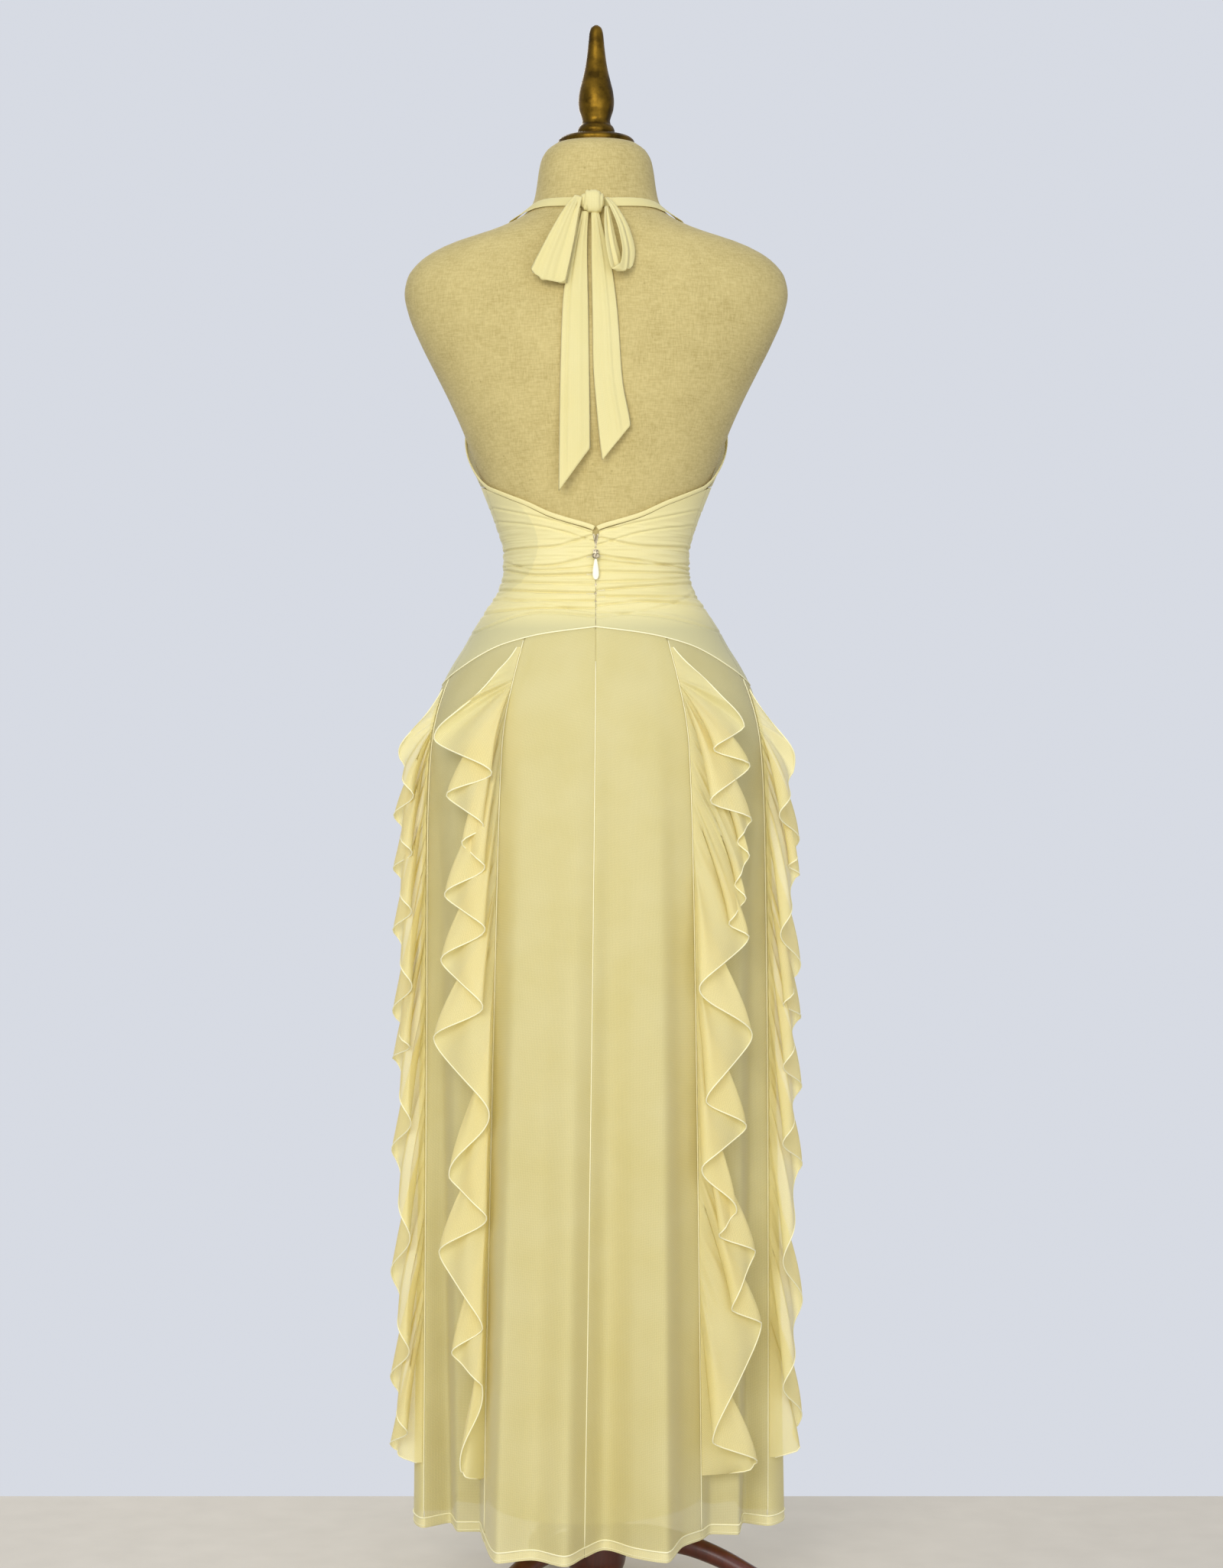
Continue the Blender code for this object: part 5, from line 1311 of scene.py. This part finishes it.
def make_zip_parts(steel, ivory):
    low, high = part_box("zip_ring")
    axis = Vector((0, (low.y + high.y) / 2, SLIDER_HEIGHT))
    line = [axis + Vector((RING_HALF_WIDTH * math.cos(t), 0, RING_DROP / 2 * (math.sin(t) - 1)))
            for t in circle(48)]
    ring = add_tube("zip_ring_wire", line, RING_WIRE, steel, sides=12, ring=True)
    dress_up(ring, "zip_steel", "zip_ring", body="pull")
    top = SLIDER_HEIGHT - RING_DROP - RING_WIRE - FIT_GAP
    rings = []
    for down in spread(0, PULL_ROWS[-1].down, 40):
        half = read_rows(PULL_ROWS, down, "half_width") * MM
        rings.append([Vector((half * math.cos(t), axis.y + PULL_HALF_THICKNESS * math.sin(t),
                              top - down * MM)) for t in circle(24)])
    drop = add_grid("zip_pull_drop", rings, ivory, ring=True, caps=True)
    dress_up(drop, "ivory_enamel", "zip_pull", body="pull")
    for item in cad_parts["zip_slider"].material_slots:
        item.material = steel


# Setting
CAMERA_BACK = 3.0                # metres behind the pole
CAMERA_HEIGHT = 0.85
CAMERA_SIDE = -0.016
FOCAL_PIXELS = 3750
PHOTO_HEIGHT = 2052
BACK_WALL = 0.92                 # brightness of the studio behind the dress and behind the camera
SIDE_WALLS = 0.6                 # and of its darker sides
LIGHTS_AIM = Vector((0, 0, 0.9))
Lamp = namedtuple("Lamp", "name place size power colour")
LAMPS = (
    Lamp("key_light", (0.9, 3.5, 2.0), 1.8, 76, "#FFFCF4"),
    Lamp("fill_light", (-1.3, 3.3, 1.2), 1.8, 24, "#FAFAFF"),
    Lamp("front_light", (0.6, -2.8, 2.4), 1.6, 40, "#FFFDF6"),
)
FLOOR_MIDDLE = Vector((0, 0.89, -0.01))
FLOOR_HALF = Vector((1.4, 1.31, 0.01))


def make_camera(scene):
    lens = bpy.data.cameras.new("photo_camera")
    lens.sensor_fit = "VERTICAL"
    lens.sensor_height = 24.0
    lens.lens = FOCAL_PIXELS / PHOTO_HEIGHT * lens.sensor_height
    camera = bpy.data.objects.new("photo_camera", lens)
    camera.location = (CAMERA_SIDE, CAMERA_BACK, CAMERA_HEIGHT)
    camera.rotation_euler = (math.radians(90), 0, math.radians(180))
    scene.collection.objects.link(camera)
    scene.camera = camera


def make_studio(scene):
    for row in LAMPS:
        lamp = bpy.data.lights.new(row.name, "AREA")
        lamp.size = row.size
        lamp.energy = row.power
        lamp.color = linear(row.colour)[:3]
        light = bpy.data.objects.new(row.name, lamp)
        light.location = row.place
        light.rotation_euler = (LIGHTS_AIM - Vector(row.place)).to_track_quat("-Z", "Y").to_euler()
        scene.collection.objects.link(light)
    world = bpy.data.worlds.new("studio")
    world.use_nodes = True
    tree = world.node_tree
    ground = tree.nodes["Background"]
    ground.inputs["Color"].default_value = linear("#DFE3EC")
    way = add_node(tree, "SeparateXYZ", {0: add_node(tree, "TexCoord").outputs["Generated"]})
    sideways = add_node(tree, "Math", {0: way.outputs["X"]}, operation="ABSOLUTE")
    walls = add_node(tree, "MapRange", {"Value": sideways, "From Min": 0.3, "From Max": 0.9,
                                        "To Min": BACK_WALL, "To Max": SIDE_WALLS})
    tree.links.new(walls.outputs[0], ground.inputs["Strength"])
    scene.world = world
    scene.view_settings.view_transform = "Standard"
    # Matt grey-beige floor paint, rolled on, with a soft uneven tone
    paint = plain_material("painted_floor", "#CFC8BC", "#C2BBAF", 0.7, 50 * MM, 0.05)
    add_mesh("floor", box_points(FLOOR_MIDDLE, FLOOR_HALF), BOX_FACES, paint, smooth=False)


def main():
    # Nylon power mesh, warp-knitted: in one layer over the lining it is cream with a yellow glow
    mesh_cloth = knit_material("butter_power_mesh", "#EBE4B0", "#DDD391", "#EEDC7E", 0.15, 0.3,
                               mask=doubled_hem, other="#FCF7C8")
    # The same mesh on the side back panels, in a darker, greyer colour that is painted shade, as they turn
    # away from the light; it is also a little more sheer, as they hang further from the lining
    shaded_side_cloth = knit_material("shaded_side_power_mesh", "#E2DBA8", "#CEC58C", "#E0D080", 0.16, 0.26,
                               mask=doubled_hem, other="#F4EEBE")
    # The same mesh gathered: its many layers hide what is behind them and look warmer
    ruched_cloth = knit_material("ruched_power_mesh", "#F3E9B0", "#EBDF99", "#F4E38A", 0.03, 0.12,
                                 mask=single_layer, other="#D3CD9C")
    # The same mesh in free ruffles, where light comes through each flute
    ruffle_cloth = knit_material("ruffle_power_mesh", "#FCF6C3", "#F3EAA9", "#F6E27C", 0.2, 0.38)
    # The same mesh sewn into double ties, nearly opaque
    bow_cloth = knit_material("bow_power_mesh", "#F2EAB1", "#E9DF9B", "#F0DF86", 0.02, 0.25)
    # Polyester jersey, knitted finer and closer than the mesh: opaque and matt
    lining_cloth = knit_material("lining_jersey", "#F3EDC0", "#E8E0A6", "#EFE094", 0.03, 0.3, JERSEY_PITCH)
    # Textured polyester overlock thread: pale, matt and slightly hairy
    merrow = plain_material("merrow_thread", "#FBF7D6", "#EFE8B8", 0.75, 1.111 * MM)
    # Woven polyester tape of the zip: flat, matt and a little greyer than the cloth
    tape = plain_material("woven_tape", "#DDD6B4", "#C9C19B", 0.85, 1.429 * MM)
    linen = linen_material()
    # Bronze powder paint brushed on turned wood: dull gold, dark where it is rubbed
    gold = metal_material("antique_gold_paint", "#80611A", "#463307", 0.42, 0.92, 22.22 * MM, 0.25)
    # Nickel-plated zinc alloy, die-cast: satin, slightly tarnished
    steel = metal_material("zip_nickel", "#B4AA92", "#5A5140", 0.35, 0.85, 3.333 * MM, 0.1)
    # Cold enamel on the cast pull: smooth, cream and semi-gloss
    ivory = plain_material("ivory_enamel_pull", "#F6F2DE", "#EDE7CC", 0.3, 5 * MM, 0.03)
    wood = wood_material()

    make_form(linen, gold, wood)
    make_skirt(mesh_cloth, shaded_side_cloth, merrow)
    make_lining(lining_cloth)
    make_midriff(ruched_cloth)
    make_cups(mesh_cloth)
    make_bindings(ruched_cloth)
    make_neck_frills(ruffle_cloth, merrow)
    make_ruffles(ruffle_cloth, merrow)
    make_straps(bow_cloth)
    make_bow(bow_cloth)
    make_zip(tape, steel)
    make_zip_parts(steel, ivory)
    make_camera(bpy.context.scene)
    make_studio(bpy.context.scene)


main()
